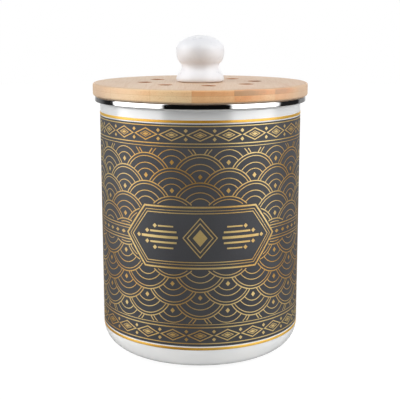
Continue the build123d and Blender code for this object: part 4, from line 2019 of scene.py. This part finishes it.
@dataclass
class Studio:
    """The white set, the lamps, the room that the steel mirrors, and the camera.

    Attributes:
        camera_place: Where the camera stands, in metres.
        camera_pitch: Degrees between straight down and the camera's view.
        ambient: Brightness of the world where neither the camera nor a gloss sees it.
        floor_glow: Brightness that the camera sees in the floor near the caddy and far from it.
        floor_fade: Metres from the axis between which that changes.
        floor_ink: How much of the caddy's shadow the camera sees.
        paper: Colour of the sheet near the caddy, as the light that it throws back has it.
        table: Colour of the table round it.
        paper_edge: Metres from the axis between which the one becomes the other.
    """

    camera_place: tuple[float, float, float] = (0.0, -0.7243, 0.2630)
    camera_pitch: float = 78.61
    lens_mm: float = 81.5
    sensor_mm: float = 36.0
    shift: tuple[float, float] = (-0.0005, 0.0003)
    clip: tuple[float, float] = (0.01, 50.0)
    ambient: float = 0.03
    floor_radius: float = 3.0
    floor_sides: int = 64
    floor_height: float = -0.00005
    floor_glow: tuple[float, float] = (0.9, 1.0)
    floor_fade: tuple[float, float] = (0.25, 0.6)
    floor_ink: float = 0.16
    paper: str = "#F2F2F2"
    table: str = "#A0A0A0"
    paper_edge: tuple[float, float] = (0.13, 0.3)
    room: MirroredRoom = MirroredRoom()
    lamps: tuple[Softbox, ...] = (
        Softbox("softbox_left", -90.0, 8.0, (1.5, 1.7), 3.6),
        Softbox("softbox_right", 92.0, 8.0, (1.5, 1.7), 3.0),
        Softbox("softbox_right_front", 56.0, 8.0, (1.1, 1.7), 0.85),
        Softbox("softbox_high", 0.0, 62.0, (1.4, 0.6), 3.5),
        Softbox("softbox_front", 0.0, 32.0, (1.2, 0.7), 0.6),
    )

    def light_world(self) -> None:
        """Show white behind the caddy and in its gloss, and light it more softly."""
        world = bpy.data.worlds.new("white_studio")
        bpy.context.scene.world = world
        tree = bare_tree(world)
        rays = add_node(tree, "LightPath").outputs
        shown = rays["Is Camera Ray"]
        for ray in ("Is Glossy Ray", "Is Transmission Ray"):
            shown = add_node(tree, "Math", {0: shown, 1: rays[ray]}, operation="MAXIMUM")
        soft, white = (
            add_node(tree, "Background", {"Color": (1, 1, 1, 1), "Strength": strength})
            for strength in (self.ambient, 1.0)
        )
        both = add_node(tree, "MixShader", {0: shown, 1: soft, 2: white})
        add_node(tree, "OutputWorld", {"Surface": both})

    def build_floor(self) -> Piece:
        """Return the floor. The camera sees it white, with the caddy's pale shadow. It throws light
        back from a sheet of white paper near the caddy, and little from the table round that."""
        turns = [step * TURN / self.floor_sides for step in range(self.floor_sides)]
        corners = [
            (self.floor_radius * math.cos(turn), self.floor_radius * math.sin(turn),
             self.floor_height)
            for turn in turns
        ]
        mesh = bpy.data.meshes.new("studio_floor")
        mesh.from_pydata(corners, [], [list(range(self.floor_sides))])
        paint = bpy.data.materials.new("studio_floor_white")
        tree = bare_tree(paint)
        ink = (self.floor_ink, self.floor_ink, self.floor_ink, 1)
        shade = add_node(tree, "BsdfDiffuse", {"Color": ink})
        place = add_node(tree, "TexCoord").outputs["Object"]
        away = add_node(tree, "VectorMath", {0: place}, operation="LENGTH")
        near, far = self.paper_edge
        sheet = add_node(tree, "MapRange", {0: away, "From Min": near, "From Max": far})
        sides = {0: sheet, 6: linear(self.paper), 7: linear(self.table)}
        colour = add_node(tree, "Mix", sides, data_type="RGBA")
        bounce = add_node(tree, "BsdfDiffuse", {"Color": colour})
        dim, bright = self.floor_glow
        near, far = self.floor_fade
        fade = {0: away, "From Min": near, "From Max": far, "To Min": dim, "To Max": bright}
        glow = add_node(tree, "Emission", {"Strength": add_node(tree, "MapRange", fade)})
        seen = add_node(tree, "AddShader", {0: shade, 1: glow})
        camera_ray = add_node(tree, "LightPath").outputs["Is Camera Ray"]
        both = add_node(tree, "MixShader", {0: camera_ray, 1: bounce, 2: seen})
        add_node(tree, "OutputMaterial", {"Surface": both})
        mesh.materials.append(paint)
        floor = placed("studio_floor", mesh)
        floor.visible_glossy = False
        return floor

    def build_camera(self) -> None:
        """Place the camera where the photograph was taken from."""
        lens = bpy.data.cameras.new("studio_camera")
        lens.lens = self.lens_mm
        lens.sensor_width = self.sensor_mm
        lens.shift_x, lens.shift_y = self.shift
        lens.clip_start, lens.clip_end = self.clip
        camera = placed("studio_camera", lens)
        camera.location = self.camera_place
        camera.rotation_euler = (math.radians(self.camera_pitch), 0, 0)
        bpy.context.scene.camera = camera

    def build(self) -> None:
        """Set up the whole studio."""
        self.build_camera()
        self.light_world()
        for lamp in self.lamps:
            lamp.build()
        self.build_floor()
        self.room.build()
        bpy.context.scene.view_settings.view_transform = "Standard"


def main() -> None:
    """Build the caddy's sub-assemblies and the studio round them."""
    logging.basicConfig(level=logging.INFO, format="%(name)s: %(message)s")
    canister = Canister()
    canister.build()
    PrintedWrap(canister.body_radius).build()
    Lid().build()
    FilterCartridge().build()
    Studio().build()


if __name__ == "__main__":
    main()
